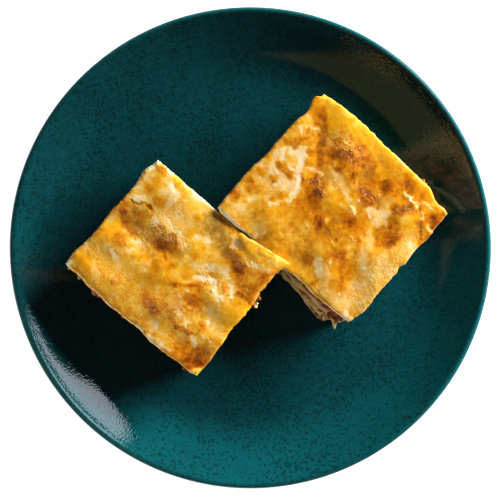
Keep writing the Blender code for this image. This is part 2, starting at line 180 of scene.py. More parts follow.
LEFT = Square(
    name="left",
    top_corners=((-51.5, 48.5), (-102.4, -8.8), (-29.8, -71.4), (16.9, -10.1)),
    floor_corners=((-51.4, 46.5), (-99.5, -9.0), (-29.9, -67.8), (13.8, -13.8)),
    bows=(0.0, 1.5, 0.0, 0.0),
    top=33.4,
    humps=(
        (13, -9, 13, 2.4), (-17, 13, 12, -0.9), (-63, 14, 9, -1.2), (-46, 1, 7, -0.9),
        (-58, 27, 8, 0.9), (-19, -25, 9, 1.3), (-31, -66, 10, -1.5), (-90, -10, 10, 1.0),
        (-52, -27, 11, 0.8),
    ),
    bits=(
        ("all", 0, 11, 11, 1.9), ("all", 3, 81, 9, 1.5), ("meat_3", 1, 24.7, 6, 2.6),
        ("meat_3", 1, 42.5, 5, 2.6), ("meat_3", 1, 88, 4, 2.2), ("meat_3", 2, 53.6, 6, 2.6),
        ("sheet_3", 2, 61, 4, 1.2),
    ),
    seed=11,
    rims=(0.3, 0.8, 0.15, 0.5),
    grain=1.0,
    browning=0.45,
    crumbs=(
        ("meat_3", 1.0, -32.0, 29.0, 1.8), ("sheet_3", 2.6, -32.8, 28.0, 1.2),
        ("meat_3", 5.0, -28.4, 29.5, 0.9), ("sheet_3", 3.5, -31.3, 27.6, 0.8),
        ("meat_3", -1.4, -34.8, 28.5, 0.7), ("meat_3", 16.2, -13.2, 29.4, 1.6),
        ("sheet_3", -101.0, -11.4, 27.5, 0.9), ("sheet_3", -95.4, -16.6, 27.6, 1.0),
        ("meat_3", -88.2, -22.4, 28.6, 1.1), ("meat_3", -36.8, -67.2, 28.0, 1.3),
        ("meat_3", -34.8, -68.4, 27.6, 1.0),
    ),
    marks={
        "amber": (
            (-66, 18, -58, 10, 6, 0.5), (-50, 2, -44, 0, 7, 0.5), (-13, 0, -4, -14, 6, 0.8),
            (4, -18, -4, -28, 5, 0.7), (-42, -24, -32, -30, 6, 0.5), (-58, -28, -52, -36, 7, 0.5),
            (-38, -58, -28, -62, 7, 0.9), (-94, -7, -92, -11, 5, 0.2), (-36, -44, -46, -40, 5, 0.3),
            (-46, -30, -42, -36, 6, 0.35), (-4, -18, 2, -24, 7, 0.5),
        ),
        # A few small cream strokes, at (-43.5, 34.5), (-21, -17.5) and (-24.5, -41), are painted
        # highlights of the oil
        "cream": (
            (-62, 38, -38, 16, 9, 0.38), (-86, 0, -66, -14, 7, 0.25),
            (-56, 44, -52, 47.5, 1.6, 0.9), (-48, 46, -42, 41, 1.2, 0.9),
            (-45, 41, -47, 37, 1.8, 0.7), (-62, 36, -59, 33, 3, 0.5),
            (-43.5, 34.5, -40, 28, 1.5, 1), (-60, 29, -56, 26, 2.4, 0.6),
            (-66, 28, -64, 26.5, 0.9, 0.8), (-54, 21, -52.5, 14.5, 2.2, 0.65),
            (-49, 18, -47, 14, 2.4, 0.5), (-46, 17, -42, 9, 2, 0.6), (-68, 4, -62, 3, 1.4, 0.6),
            (-77, -0.5, -75, -5, 1.3, 1), (-74, -6, -73, -10, 2, 0.6), (-68, -2, -66, -2, 1.6, 0.6),
            (-102, -8.5, -99, -8, 2.2, 0.9), (-87, -10, -85, -17, 2, 0.5),
            (-80, 2, -82, -4, 3, 0.3), (-43, -13, -40, -11, 0.8, 0.7), (-60, -12, -57, -15, 2, 0.4),
            (-33, -10, -13, -12, 2, 0.6), (-31, -17, -20, -18.5, 1.4, 0.95),
            (-21, -17.5, -20, -18.5, 1.2, 1), (-16, -13, -12, -17, 1.4, 0.9),
            (-21, -22, -18, -28, 1.5, 0.95), (-16, -27, -15.5, -29, 1.2, 0.8),
            (-10.5, -20, -10, -25, 1.6, 0.7), (-40, 8, -37, 0, 2, 0.6), (-38, 15, -34, 12, 3, 0.5),
            (-29, 6, -23, 3, 1.8, 0.8), (-24, 22, -20, 20, 3, 0.4), (-32, 30, -26, 22, 3, 0.45),
            (-11, 5, -8, 1, 2.4, 0.5), (-22, -35, -20, -39, 3.6, 0.45),
            (-24.5, -41, -23.5, -42, 1, 0.9), (-40, -36, -35, -41, 1.6, 0.6),
            (-36.5, -41, -35.5, -45.5, 1, 0.95), (-33, -49, -31, -53, 1.4, 0.7),
            (-54, -41, -53, -44, 3, 0.55), (-56, -49, -46, -57, 1.3, 0.7),
            (-20, -47, -16, -49, 2.4, 0.45), (-32, -68.5, -28.5, -67.5, 1.6, 0.5),
            (5, -11, 10, -12.5, 1.6, 0.5),
        ),
        # The yellow strokes on the tip, from (2, 0) to (19, -9), are partly painted light where the
        # tip slopes toward the light
        "yellow": (
            (2, 0, 8, -4, 2.8, 0.9), (-92, -8, -80, -2, 7, 0.6), (-56, 38, -46, 34, 6, 0.5),
            (-40, 26, -30, 18, 6, 0.4), (8, -5, 19, -9, 3, 1), (-36, 12, -30, 6, 4, 0.5),
            (-30, 2, -28, 1, 1.8, 0.7), (-88, -18, -80, -24, 4, 0.7), (-74, -12, -60, -20, 5, 0.35),
            (-56, 24, -44, 22, 5, 0.3), (-62, 38, -56, 40, 3, 0.4), (-22.5, -27, -22, -28, 2, 0.8),
            (-48, -42, -46, -44, 2.6, 0.7), (-14, -35, -8, -38, 4, 0.6),
            (-12, -46, -22, -52, 4, 0.4), (-76, 12, -84, 2, 4, 0.5),
            (-32, -68.5, -28.5, -67.5, 2, 0.9), (-8, -30, -2, -34, 3, 0.6),
        ),
        "orange": (
            (-50, 43.5, -49, 42.5, 2.4, 1), (-52.6, 38, -52, 36, 2.4, 0.8),
            (-57, 33, -55, 32.5, 2.6, 0.7), (-51, 26.4, -49.5, 26, 2.6, 0.9),
            (-40.8, 36.5, -40.4, 36, 1.6, 0.6), (-73, 5, -72, 4, 3, 1),
            (-70, 2.5, -69.5, 2, 1.6, 0.8), (-95, -5, -92, -12, 3.2, 0.9),
            (-63.5, -4, -63, -4.5, 2.2, 0.7), (-52, -9, -42, -11, 2.6, 0.9),
            (-45, -18, -43, -18.5, 2.2, 0.8), (-36, -13, -35, -14, 3, 0.9),
            (-33.4, 8.5, -33, 8, 2.2, 0.9), (-29.5, 17.5, -29, 17, 1.6, 0.9),
            (-21, -14.6, -20.5, -14.6, 1.6, 1), (-14.5, -22.5, -14, -23, 2.2, 1),
            (-24, -24, -28, -22, 2.4, 0.7), (-60, 16, -57, 20, 3, 0.5),
            (-66, -22, -58, -18, 4, 0.4), (-41, -44, -43, -44, 2, 0.6),
            (16.5, -13, 17, -13.5, 1.8, 0.7), (-70, 22, -72, 20, 3, 0.5),
        ),
        # The brown stroke beside the tip, from (-12, -4) to (-5, -12), and the dark one from (-9,
        # -9) to (-5, -12) are partly painted shade where the skin slopes away from the light
        "brown": (
            (-70, 19, -69.5, 14, 2, 0.8), (-70, 14, -63, 7, 1.5, 0.8), (-51, 3, -43, 0, 3.2, 1),
            (-43, 6, -42.5, 4, 1.8, 0.7), (-12, -4, -5, -12, 3.2, 1), (-5, -14, -4, -19, 2.8, 0.7),
            (8, -16, 3, -22, 2, 0.7), (2, -22, -1, -26, 3, 0.6), (-6, -25, -4.5, -26.5, 2, 0.8),
            (-42, -20, -30, -21, 0.9, 0.8), (-32, -28, -30, -30, 2.6, 0.7),
            (-58, -27, -53, -35, 2.8, 0.6), (-41, -44, -34, -47.5, 1.4, 0.9),
            (-28.5, -42, -26, -46, 1.1, 0.8), (-40, -57, -28, -58, 2.8, 0.8),
            (-36, -60, -28, -64, 3, 0.8), (-35, -66, -33, -67, 1.6, 0.7),
            (-32, -3, -30, -5, 2.2, 0.4),
        ),
        "dark": (
            (-48, -3, -46.8, -6.5, 0.8, 0.9), (-50, 0, -47, -1, 1.8, 0.6),
            (-9, -9, -5, -12, 1.8, 0.8), (-30, -62, -29, -64, 2.2, 0.9),
            (-35, -62, -33, -59, 1.2, 0.5), (-57, 23, -55, 20.5, 0.9, 0.9),
            (0, -31, 1, -33, 1.4, 0.8),
        ),
        # The olive strokes along the seam, from (-22, 16) to (-9, -6), are painted shadow of the
        # right square's edge, over sauce that shows through
        "olive": (
            (-66, 16, -58, 8, 5, 0.35), (-54, 11, -49, 9, 3.6, 0.5), (-22, 16, -16, 4, 4, 0.85),
            (-16, 6, -13, -3, 2.8, 0.8), (-10, -2, -9, -6, 2.4, 0.5),
            (-22, -36, -20, -40, 4.4, 0.35), (-36, -2, -39, -3, 1.8, 0.5),
        ),
        "shaded_crease": (
            (-66.4, 26.7, -64.3, 24.7, 0.6, 0.9), (-64.3, 24.7, -58.7, 24.7, 0.6, 0.9),
            (-58.7, 24.7, -56, 22, 0.7, 0.9),
        ),
        "painted_glint": (
            (-42, -22, -40.5, -23.5, 0.6, 0.9), (-35.5, -24, -33.5, -25, 0.6, 0.7),
            (-40, -25, -39.5, -27, 0.4, 0.6), (-39, -29, -38.6, -31, 0.4, 0.5),
            (-27, -49.3, -26.5, -50.3, 0.7, 0.8), (-24, -50, -23, -52, 0.5, 0.7),
            (-35.5, -58, -34, -59, 0.6, 0.8), (-33.5, -60.5, -32.5, -61.5, 0.5, 0.7),
            (-36, -32, -33, -34, 0.5, 0.7), (-6, -24.5, -4, -26.5, 0.5, 0.9),
            (-3, -23, -2, -25, 0.5, 0.7), (-13, -27.5, -10, -27, 0.45, 0.7),
            (-60, 5, -56, 2, 0.5, 0.6), (-66, 0, -64, -3, 0.5, 0.5), (-47.5, 4.5, -46, 3, 0.5, 0.8),
            (-44, 5, -43, 2, 0.45, 0.7), (-2.5, -8, -1.5, -10.5, 0.6, 1), (0, -8, 1, -10.5, 0.6, 1),
            (2, -9, 3, -11, 0.6, 0.9), (-5, -7, -4, -9, 0.5, 0.9),
        ),
        # The first ridge, on the tip, is pale partly as painted light where the tip slopes toward
        # the light
        "ridge": (
            (6, -2.4, 14, -6, 1.5, 0.8), (-65.5, 27.8, -60, 26.5, 1.4, 0.5),
        ),
        "pearls": (
            (-80, -14, -40, -44, 9, 0.42), (-92, 2, -80, -8, 5, 0.4), (-54, 12, -44, 6, 3.6, 1),
            (-46, 16, -42, 9, 2.2, 1), (-40, 8, -36, 0, 2.6, 1), (-6, -8, 3, -11, 2.2, 0.9),
            (-26, -14, -14, -27, 5, 0.9), (-58, 8, -62, 4, 4, 0.6),
        ),
    },
)

RIGHT = Square(
    name="right",
    top_corners=((40.4, 84.5), (-18.6, 22.1), (54.6, -41.6), (108.6, 18.7)),
    floor_corners=((40.1, 82.0), (-14.5, 20.9), (39.8, -41.3), (104.8, 18.4)),
    bows=(0.8, 0.4, 1.0, 3.7),
    top=34.5,
    humps=(
        (49, 67, 13, 1.0), (53, 51, 9, 0.7), (27, 7, 13, -0.7), (67, -5, 9, 1.2), (84, 18, 8, 0.8),
        (104, 18, 11, -0.8), (3, 6, 8, -0.8), (19, -9, 9, -1.9), (-14, 19, 7, 0.3),
        (41, 30, 9, 0.8), (54, -38, 9, -1.6),
    ),
    bits=(
        ("slid", 2, 15, 16, 6.5), ("top", 0, 6.5, 5, 2.3), ("top", 3, 9.5, 8, -0.6),
        ("top", 3, 19, 5, 0.3), ("all", 2, 14, 10, 1.2), ("all", 2, 41.6, 4, -1.4),
        ("meat_3", 1, 72, 34, 1.5), ("meat_3", 1, 90, 8, 0.8), ("meat_2", 1, 67, 9, 0.9),
        ("meat_2", 1, 84, 8, 0.6), ("meat_1", 1, 83, 9, 1.3), ("sheet_3", 1, 89, 3.4, 3.6),
        ("sheet_3", 2, 0, 3.4, 3.6), ("meat_3", 2, 68, 9, 2.4), ("meat_3", 3, 20, 5, 2.4),
        ("meat_3", 3, 28, 4, 2.0),
    ),
    seed=23,
    rims=(0.4, 0.9, 0.3, 0.35),
    grain=0.6,
    browning=0.52,
    crumbs=(
        ("sheet_3", 89.8, 41.2, 29.0, 0.9), ("meat_3", 95.6, 36.8, 30.0, 1.6),
        ("sheet_3", 98.8, 33.0, 29.2, 1.1), ("meat_3", 97.2, 35.2, 29.6, 0.9),
        ("meat_3", 92.6, 39.0, 29.8, 0.9), ("meat_3", 46.8, -38.6, 28.5, 1.7),
        ("meat_3", 44.0, -37.2, 27.0, 1.4), ("meat_1", 40.0, -38.6, 15.5, 1.5),
        ("meat_1", 37.4, -37.0, 15.5, 1.2),
    ),
    marks={
        "amber": (
            (40, 60, 39, 46, 4, 0.8), (46, 55, 60, 46, 6, 0.9), (62, 46, 68, 38, 5, 0.6),
            (38, 76, 42, 68, 3, 0.6), (36, 36, 34, 28, 6, 0.8), (30, 24, 38, 12, 6, 0.6),
            (64, 30, 68, 24, 6, 0.6), (44, 16, 60, 8, 8, 0.45), (78, 16, 80, 8, 5, 0.5),
            (46, -2, 54, -14, 6, 0.5), (74, 6, 78, 0, 6, 0.6), (96, 14, 102, 14, 5, 0.9),
            (96, 24, 82, 34, 9, 0.9), (44, 77, 60, 64, 6, 0.5), (88, 22, 84, 10, 6, 0.5),
            (6, 2, 22, -4, 7, 0.25), (88, 32, 96, 30, 5, 0.3), (89, 30, 101, 15, 8, 0.45),
        ),
        # A few small cream strokes, at (21.5, 44.5), (11, 24.3), (31.5, 44.2), (65, 21) and (98.5,
        # 11.5), are painted highlights of the oil
        "cream": (
            (17.5, 54, 17.5, 49.5, 1.8, 1), (8, 38, 27, 56, 8, 0.38), (14, 30, 27, 40, 6, 0.3),
            (58, -28, 86, 2, 8, 0.35), (23, 54, 30, 51, 2.4, 1), (26, 55.5, 33, 56, 1.3, 0.9),
            (29, 50, 27, 43, 2.2, 0.9), (26.5, 43, 26.3, 33.5, 1.8, 1),
            (21.5, 44.5, 24.5, 41.8, 0.8, 1), (15, 36, 22, 35, 3.4, 0.75),
            (25, 31, 21.5, 26, 1.4, 0.75), (11, 43, 14, 38, 1.6, 0.65),
            (14.5, 53, 15.5, 49, 1.4, 0.6), (6, 46, 10, 45, 1.6, 0.5), (0, 29, 1.5, 27.5, 2, 0.5),
            (-6, 33, -3, 31, 2, 0.4), (5, 39, 8, 37, 1.7, 0.5), (11, 24.3, 15, 24.3, 1.3, 1),
            (-17.5, 21.5, -10, 14.3, 1.5, 0.95), (-10, 14.3, 0, 6, 1.3, 0.95),
            (-9, 26, -4, 20, 4, 0.4), (31.5, 44.2, 34.5, 43, 0.8, 0.8),
            (35, 42.5, 40, 40.5, 0.8, 0.5), (26.5, 67.5, 28.5, 64, 1, 0.8),
            (31.5, 74, 33, 71, 1.2, 0.5), (32, 66.8, 38, 65.3, 0.6, 0.7),
            (24.7, 62, 24.7, 59, 1, 0.7), (3, 7, 8, 8.3, 1.4, 0.8), (2, 12, 5, 10, 2.6, 0.6),
            (37, -7, 39, -15, 2, 0.8), (41, -10, 43, -15, 1.4, 0.5), (42, -20, 48, -32, 4, 0.4),
            (53, -36, 54, -39, 2, 0.8), (66, 21, 75, 18.5, 2.4, 0.75), (72, 18, 75, 15, 2.2, 0.6),
            (65, 21, 66.5, 17.5, 0.9, 0.9), (68, 15, 71, 13, 2, 0.6), (65, 8, 66, 1, 2.8, 0.6),
            (63, -3, 62, -10, 2.6, 0.6), (88.5, 26.5, 93.5, 24, 1.2, 0.9),
            (92, 23, 90, 20, 1.2, 0.6), (85.5, 30.5, 88.5, 26.5, 0.8, 0.9),
            (95.5, 18.5, 95.5, 16.5, 1.3, 0.8), (96, 25.5, 102, 19.5, 0.9, 0.8),
            (52, 31, 55, 27, 1.2, 0.7), (48, 40, 53, 32, 2.4, 0.45), (45, 35, 46, 33, 2, 0.5),
            (86, 5, 89, 1, 2, 0.6), (74, -6, 70, -14, 3.4, 0.5), (60, -22, 56, -32, 2.4, 0.4),
            (78, 27, 74, 25, 2.6, 0.4), (98.5, 11.5, 100.5, 9.5, 0.9, 0.7),
        ),
        "yellow": (
            (46, 75.5, 54, 70, 3.6, 0.95), (54, 70, 64, 62, 3.6, 0.95), (64, 62, 76, 51, 3.6, 0.9),
            (76, 51, 82, 42, 3.4, 0.8), (22, -12, 31, -14.5, 3.4, 0.95),
            (20.5, 52.5, 23.5, 48.5, 1.4, 0.9), (29, 41, 33, 40, 2, 0.5), (86, 13, 87, 11, 5, 0.8),
            (90, 19, 92, 16, 1.8, 0.5), (44, 33, 46, 26, 3, 0.4), (2, 12, 5, 9, 3, 0.6),
            (84, 2, 80, -6, 4, 0.6), (68, -14, 62, -26, 4, 0.4), (58, -30, 66, -20, 3, 0.4),
            (14, 20, 20, 18, 3, 0.4), (46, 70, 44, 64, 3, 0.4), (72, 42, 80, 40, 3, 0.5),
        ),
        "orange": (
            (20.5, 59, 25.5, 56, 1.6, 0.9), (26, 60, 33, 58, 2.2, 0.8),
            (33.5, 53.3, 33.5, 52.8, 1.9, 1), (32.8, 48, 32.8, 47.5, 2.2, 1),
            (16, 46.5, 21.5, 40.5, 1.9, 1), (5.9, 42.5, 6, 42, 2, 1),
            (13.2, 38.4, 13.2, 38, 1.9, 1), (0, 33, 0.3, 32, 2.6, 0.9),
            (4.4, 33, 4.6, 32, 2.4, 0.8), (-0.4, 37.8, -0.2, 37.2, 1.8, 0.7),
            (-9, 29.4, -8.6, 28.6, 2.4, 0.9), (13, 28.2, 20, 29.3, 1.6, 1),
            (10.7, 50, 10.9, 49.5, 1.4, 0.7), (28.8, 41, 28.8, 35, 1.2, 0.6),
            (17, 22, 17, 20, 2.4, 0.5), (38, 79, 41, 74, 2.6, 0.5), (64, 57, 66, 56, 2.6, 0.5),
            (74, 46, 77, 44, 3.2, 0.5), (76, 35, 75, 33.5, 2.8, 0.7), (92, 33, 94, 31, 3, 0.5),
            (88, 34, 89, 33, 2.4, 0.5), (103, 21, 105, 19, 2, 0.6), (33, -6, 32, -7, 2.2, 0.8),
            (10, 4, 9, 2, 2.4, 0.5), (47, 3, 40, 8, 3.6, 0.4), (30, -4, 34, 4, 3, 0.4),
            (50, -22, 46, -20, 2.4, 0.5),
        ),
        "brown": (
            (41, 66, 40, 57, 2, 0.7), (38.5, 56, 38.5, 46, 1.5, 0.7), (32, 65.4, 32, 65, 1.4, 0.6),
            (37, 31, 37.4, 29, 2.6, 1), (35.8, 38.5, 36, 37, 2, 0.7), (46, 53, 58, 47, 3.2, 0.8),
            (51, 47.5, 50.5, 46.5, 2.4, 0.6), (61, 55.5, 61.5, 54.5, 3, 0.6),
            (65, 48.5, 66, 46, 3.4, 0.6), (57, 41, 57, 38.5, 1.8, 0.8), (66, 42, 67, 38, 3, 0.4),
            (76, 35, 74, 32, 2.4, 0.5), (64, 29, 66, 26, 3, 0.5), (80.5, 20.5, 88.5, 21.5, 2.6, 1),
            (79, 15.5, 79.5, 13.5, 2.8, 0.9), (81, 11.6, 80.6, 11, 1.7, 0.7),
            (72, 3, 79, 4, 3.4, 0.85), (54, 16.5, 54.6, 15.5, 3.4, 0.5),
            (62, 9.4, 62, 8.6, 2.6, 0.5), (47, -4, 49.5, -5, 3.2, 0.9), (50, -9, 53, -16, 3, 0.6),
            (35.3, -19, 35.4, -20, 1.6, 0.8), (38, 15.4, 38, 12.5, 2.4, 1),
            (36, 23, 33, 26, 3, 0.4), (94, 13.5, 94, 12, 2, 0.7), (94.3, 4, 95, 3, 2, 0.7),
            (97, 7.5, 99, 5.5, 2, 0.9), (101, 17, 103, 13, 2, 0.8),
        ),
        "dark": (
            (36.3, 69, 36.8, 68.6, 0.9, 0.9), (37, 30, 37.6, 29, 1.7, 0.8),
            (54, 52.5, 55, 51, 1.5, 0.8), (57, 40, 57, 39, 1, 0.7),
            (61.6, 32.6, 62.4, 31.6, 1.3, 0.8), (65.3, 31, 68.6, 25.6, 0.9, 0.7),
            (84, 21.5, 86, 21, 1.4, 0.8), (79, 15, 79.4, 14, 1.4, 0.5),
            (38, 14.6, 38, 13.6, 1.4, 0.7), (101.6, 17.6, 102, 16.8, 1.4, 0.9),
            (101, 12, 101.6, 10.6, 1.3, 1), (98, 7, 97.6, 6, 1.2, 0.6),
            (94.3, 8, 94.3, 5, 0.7, 0.7), (39.3, 53, 39.3, 49, 1, 0.5),
        ),
        "olive": (
            (42, 62, 41, 54, 3, 0.35), (66, 43, 64, 40, 3.4, 0.4), (48, 41, 52, 34, 3, 0.4),
            (-9, 24, -5, 21, 4, 0.35), (66, 6, 66, 2, 3, 0.3), (40, 44, 44, 38, 3, 0.4),
            (78, -8, 74, -14, 4, 0.3), (22, 10, 30, -2, 6, 0.15), (96, 11, 94, 14, 2, 0.3),
        ),
        "shaded_crease": (
            (93.8, 23, 94.6, 17, 0.6, 0.6), (94.6, 14, 93.6, 8, 0.6, 0.6),
            (59.5, 36, 61, 34, 0.6, 0.5),
        ),
        "painted_glint": (
            (55.5, 22.5, 58, 20, 0.8, 1), (59, 27, 60, 25.6, 0.6, 0.9),
            (61.2, 33.5, 63, 31.6, 0.5, 1), (65.8, 29.8, 67.8, 25.4, 0.45, 0.9),
            (71, 29.5, 71.6, 28, 0.8, 0.8), (78, 33, 78.4, 31.8, 0.8, 0.7),
            (81, 20, 84, 21.5, 0.4, 0.8), (84, 19.3, 87, 21, 0.4, 0.8),
            (82.5, 22.3, 85.5, 22.6, 0.4, 0.6), (55.8, 7, 57.8, 4, 0.6, 1),
            (60.8, 6, 61.2, 5, 0.6, 0.8), (43, 5.5, 46, 1.5, 0.5, 0.9),
            (41.6, 15.6, 42, 14.4, 0.9, 0.7), (31, 13, 32, 10.5, 0.5, 0.7),
            (44, -7.8, 44.6, -8.8, 0.6, 0.9), (36.6, -21, 37.4, -22, 0.6, 0.7),
            (48.7, -25.5, 49.3, -27, 0.6, 0.8), (38, 36, 38.8, 33.5, 0.5, 0.9),
            (37.5, 33, 39, 31, 0.45, 0.9), (40, 31, 42, 30, 0.5, 0.8), (28, 65, 29, 63, 0.5, 0.6),
            (52, 58, 55, 57, 0.5, 0.7), (57, 54, 58, 52, 0.5, 0.6), (46, 48, 46.4, 45.5, 0.8, 0.6),
            (56.5, 42, 58, 40.5, 0.5, 0.7), (54, 50, 56, 48.5, 0.5, 0.7),
            (13.6, 44, 15, 41.5, 0.5, 0.6), (33, 19.4, 34, 18.4, 0.4, 0.5),
        ),
        "ridge": (
            (86, 29.5, 91, 22, 0.8, 0.5), (97, 25, 102, 20, 0.8, 0.6),
        ),
        "pearls": (
            (60, -26, 86, 0, 8, 0.5), (10, 34, 27, 54, 7, 0.25), (48, 59, 57, 53, 5, 0.8),
            (54, 52, 58, 46, 3, 0.6), (60, 34, 68, 26, 3.6, 0.5), (82, 21, 88, 21, 2.4, 0.5),
            (36, 37, 40, 29, 3, 0.6), (34, 66, 38, 64, 2.4, 0.5), (46, -6, 44, -10, 2, 0.4),
            (88, 4, 84, 0, 3, 0.4), (66, -20, 50, -34, 5, 0.3),
        ),
    },
)

# What a mark does: browning, cream, gold, olive, and height in mm
MARK_KINDS = {
    "amber": (0.11, -0.3, -0.3, 0.0, 0.0),
    "cream": (-0.1, 1.0, 0.0, 0.0, -0.04),
    "yellow": (-0.1, -0.2, 1.0, 0.0, 0.05),
    "orange": (0.13, -1.3, -0.2, 0.0, 0.12),
    "brown": (0.22, -0.8, -0.6, 0.0, 0.05),
    "dark": (0.16, -0.8, -0.5, 0.0, -0.06),
    "olive": (0.0, -0.2, -0.4, 1.0, -0.08),
    # Creases: a dip, browned, with olive painted shade in it
    "shaded_crease": (0.24, -0.6, -0.2, 0.3, -0.25),
    # Small ridges with cream painted on as a highlight
    "painted_glint": (-0.1, 0.75, 0.0, 0.0, 0.15),
    "ridge": (-0.05, 0.3, 0.3, 0.0, 0.3),
}


# Numbers that look random but come out the same in each run


def hashed(cells, seed):
    """A number from 0 to 1 for each whole-number cell, by mixing its bits with the seed."""
    mixed = cells[..., 0] * 73856093 ^ cells[..., 1] * 19349663 ^ cells[..., 2] * 83492791
    mixed = (mixed ^ seed * 2654435761) & 0xFFFFFFFF
    mixed = ((mixed ^ mixed >> 15) * 2246822519) & 0xFFFFFFFF
    mixed = ((mixed ^ mixed >> 13) * 3266489917) & 0xFFFFFFFF
    return (mixed ^ mixed >> 16) / 0xFFFFFFFF


def lattice_noise(points, size, seed):
    """Noise from -1 to 1: random numbers at the corners of cubes, blended by a smooth step."""
    place = points / size
    cell = np.floor(place).astype(np.int64)
    share = place - cell
    share = share * share * (3 - 2 * share)
    total = np.zeros(len(points))
    for corner in itertools.product((0, 1), repeat=3):
        weight = np.where(corner, share, 1 - share).prod(axis=1)
        total += weight * hashed(cell + corner, seed)
    return 2 * total - 1


def layered_noise(points, size, seed, layers=3):
    """Lattice noise of the given size, with ever smaller and weaker noise added to it."""
    total = np.zeros(len(points))
    for layer in range(layers):
        total += lattice_noise(points, size / 2.03**layer, seed + 7 * layer) / 1.8**layer
    return total


def cell_noise(points, size, seed, level=False):
    """Distance to the nearest and second nearest of random points, one in each cube.

    Distances are in cube sizes. The third array is a random number of the nearest point. If
    level is set, all points lie in one plane.
    """
    place = points / size
    cell = np.floor(place).astype(np.int64)
    nearest = np.full(len(points), 9.0)
    second = nearest.copy()
    chosen = np.zeros(len(points))
    steps = (-1, 0, 1)
    for step in itertools.product(steps, steps, (0,) if level else steps):
        there = cell + step
        offset = place - there
        offset -= np.column_stack([hashed(there, seed + axis) for axis in (1, 2, 3)])
        if level:
            offset[:, 2] = 0
        away = np.linalg.norm(offset, axis=1)
        closer = away < nearest
        second = np.where(closer, nearest, np.minimum(second, away))
        chosen = np.where(closer, hashed(there, seed + 4), chosen)
        nearest = np.minimum(nearest, away)
    return nearest, second, chosen


def smooth_step(value):
    share = np.clip(value, 0, 1)
    return share * share * (3 - 2 * share)


def raised(points, heights):
    return np.column_stack((points, heights))


def flat(points):
    return raised(points, np.zeros(len(points)))


# Meshes


def put_mesh(name, points, quads, triangles, material, attributes=None):
    """A smooth-shaded mesh object of the points and faces, with a value a point if given."""
    mesh = bpy.data.meshes.new(name)
    mesh.from_pydata(points.tolist(), [], quads.tolist() + triangles.tolist())
    mesh.validate()
    mesh.shade_smooth()
    mesh.materials.append(material)
    for label, values in (attributes or {}).items():
        mesh.attributes.new(label, "FLOAT", "POINT").data.foreach_set("value", values)
    piece = bpy.data.objects.new(name, mesh)
    bpy.context.scene.collection.objects.link(piece)
    return piece


def ring_faces(count, first_low, first_high):
    """Quads between two closed rings of points, facing outwards if the second is higher."""
    here = np.arange(count)
    following = (here + 1) % count
    return np.column_stack(
        (first_low + here, first_low + following, first_high + following, first_high + here)
    )


def dress(piece, node):
    """The piece stands for a CAD node, which is hidden, and rides with the root body."""
    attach(piece, "root")
    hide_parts(node)


# Plate


def wall_shape():
    """Radius and height at which the inside wall ends, and the power of its curve."""
    end_radius = PLATE_RADIUS - LIP_RADIUS * (1 + math.sin(RIM_SLOPE))
    end_height = PLATE_HEIGHT - LIP_RADIUS * (1 - math.cos(RIM_SLOPE))
    power = math.tan(RIM_SLOPE) * (end_radius - WELL_RADIUS) / (end_height - WELL_FLOOR)
    return end_radius, end_height, power


def plate_surface(radius):
    """Height of the plate's upper face: flat in the well, then a power curve to the lip."""
    end_radius, end_height, power = wall_shape()
    share = np.clip((radius - WELL_RADIUS) / (end_radius - WELL_RADIUS), 0, 1)
    return WELL_FLOOR + (end_height - WELL_FLOOR) * share**power


def plate_profile():
    """(radius, height) from the middle of the underside, round the lip, to the well's middle.

    The foot is a low ring, the wall a power curve with its thickness laid off square to it,
    and the lip a half circle.
    """
    end_radius, _, power = wall_shape()
    foot_inner = FOOT_RADIUS - FOOT_WIDTH
    hub = np.linspace(0, foot_inner - FOOT_CHAMFER, 14)
    ring_in = foot_inner + FOOT_CHAMFER * np.array((-0.5, -0.2, 0, 0.3, 1))
    ring_in_height = FOOT_CHAMFER * np.array((2.4, 1.6, 0.9, 0.25, 0))
    foot_in = np.column_stack((ring_in, ring_in_height))
    foot_out = np.column_stack((2 * FOOT_RADIUS - FOOT_WIDTH - ring_in, ring_in_height))[::-1]
    heel = np.array(((FOOT_RADIUS + FOOT_CHAMFER, FOOT_HEIGHT),))
    share = np.arange(WALL_STEPS) / WALL_STEPS
    radius = WELL_RADIUS + share * (end_radius - WELL_RADIUS)
    inside = np.column_stack((radius, plate_surface(radius)))
    slope = np.arctan(math.tan(RIM_SLOPE) * share ** (power - 1))
    depth = PLATE_THICKNESS + share * (2 * LIP_RADIUS - PLATE_THICKNESS)
    outside = inside + depth[:, None] * np.column_stack((np.sin(slope), -np.cos(slope)))
    turn = RIM_SLOPE - math.pi / 2 + math.pi * np.arange(LIP_STEPS + 1) / LIP_STEPS
    lip = np.column_stack((np.cos(turn), np.sin(turn))) * LIP_RADIUS
    lip += (PLATE_RADIUS - LIP_RADIUS, PLATE_HEIGHT - LIP_RADIUS)
    well = np.linspace(WELL_RADIUS, 0, 26)[1:]
    return np.vstack(
        (
            np.column_stack((hub, np.full(len(hub), FOOT_HEIGHT))),
            foot_in,
            foot_out,
            heel,
            outside,
            lip,
            inside[::-1],
            np.column_stack((well, np.full(len(well), WELL_FLOOR))),
        )
    )


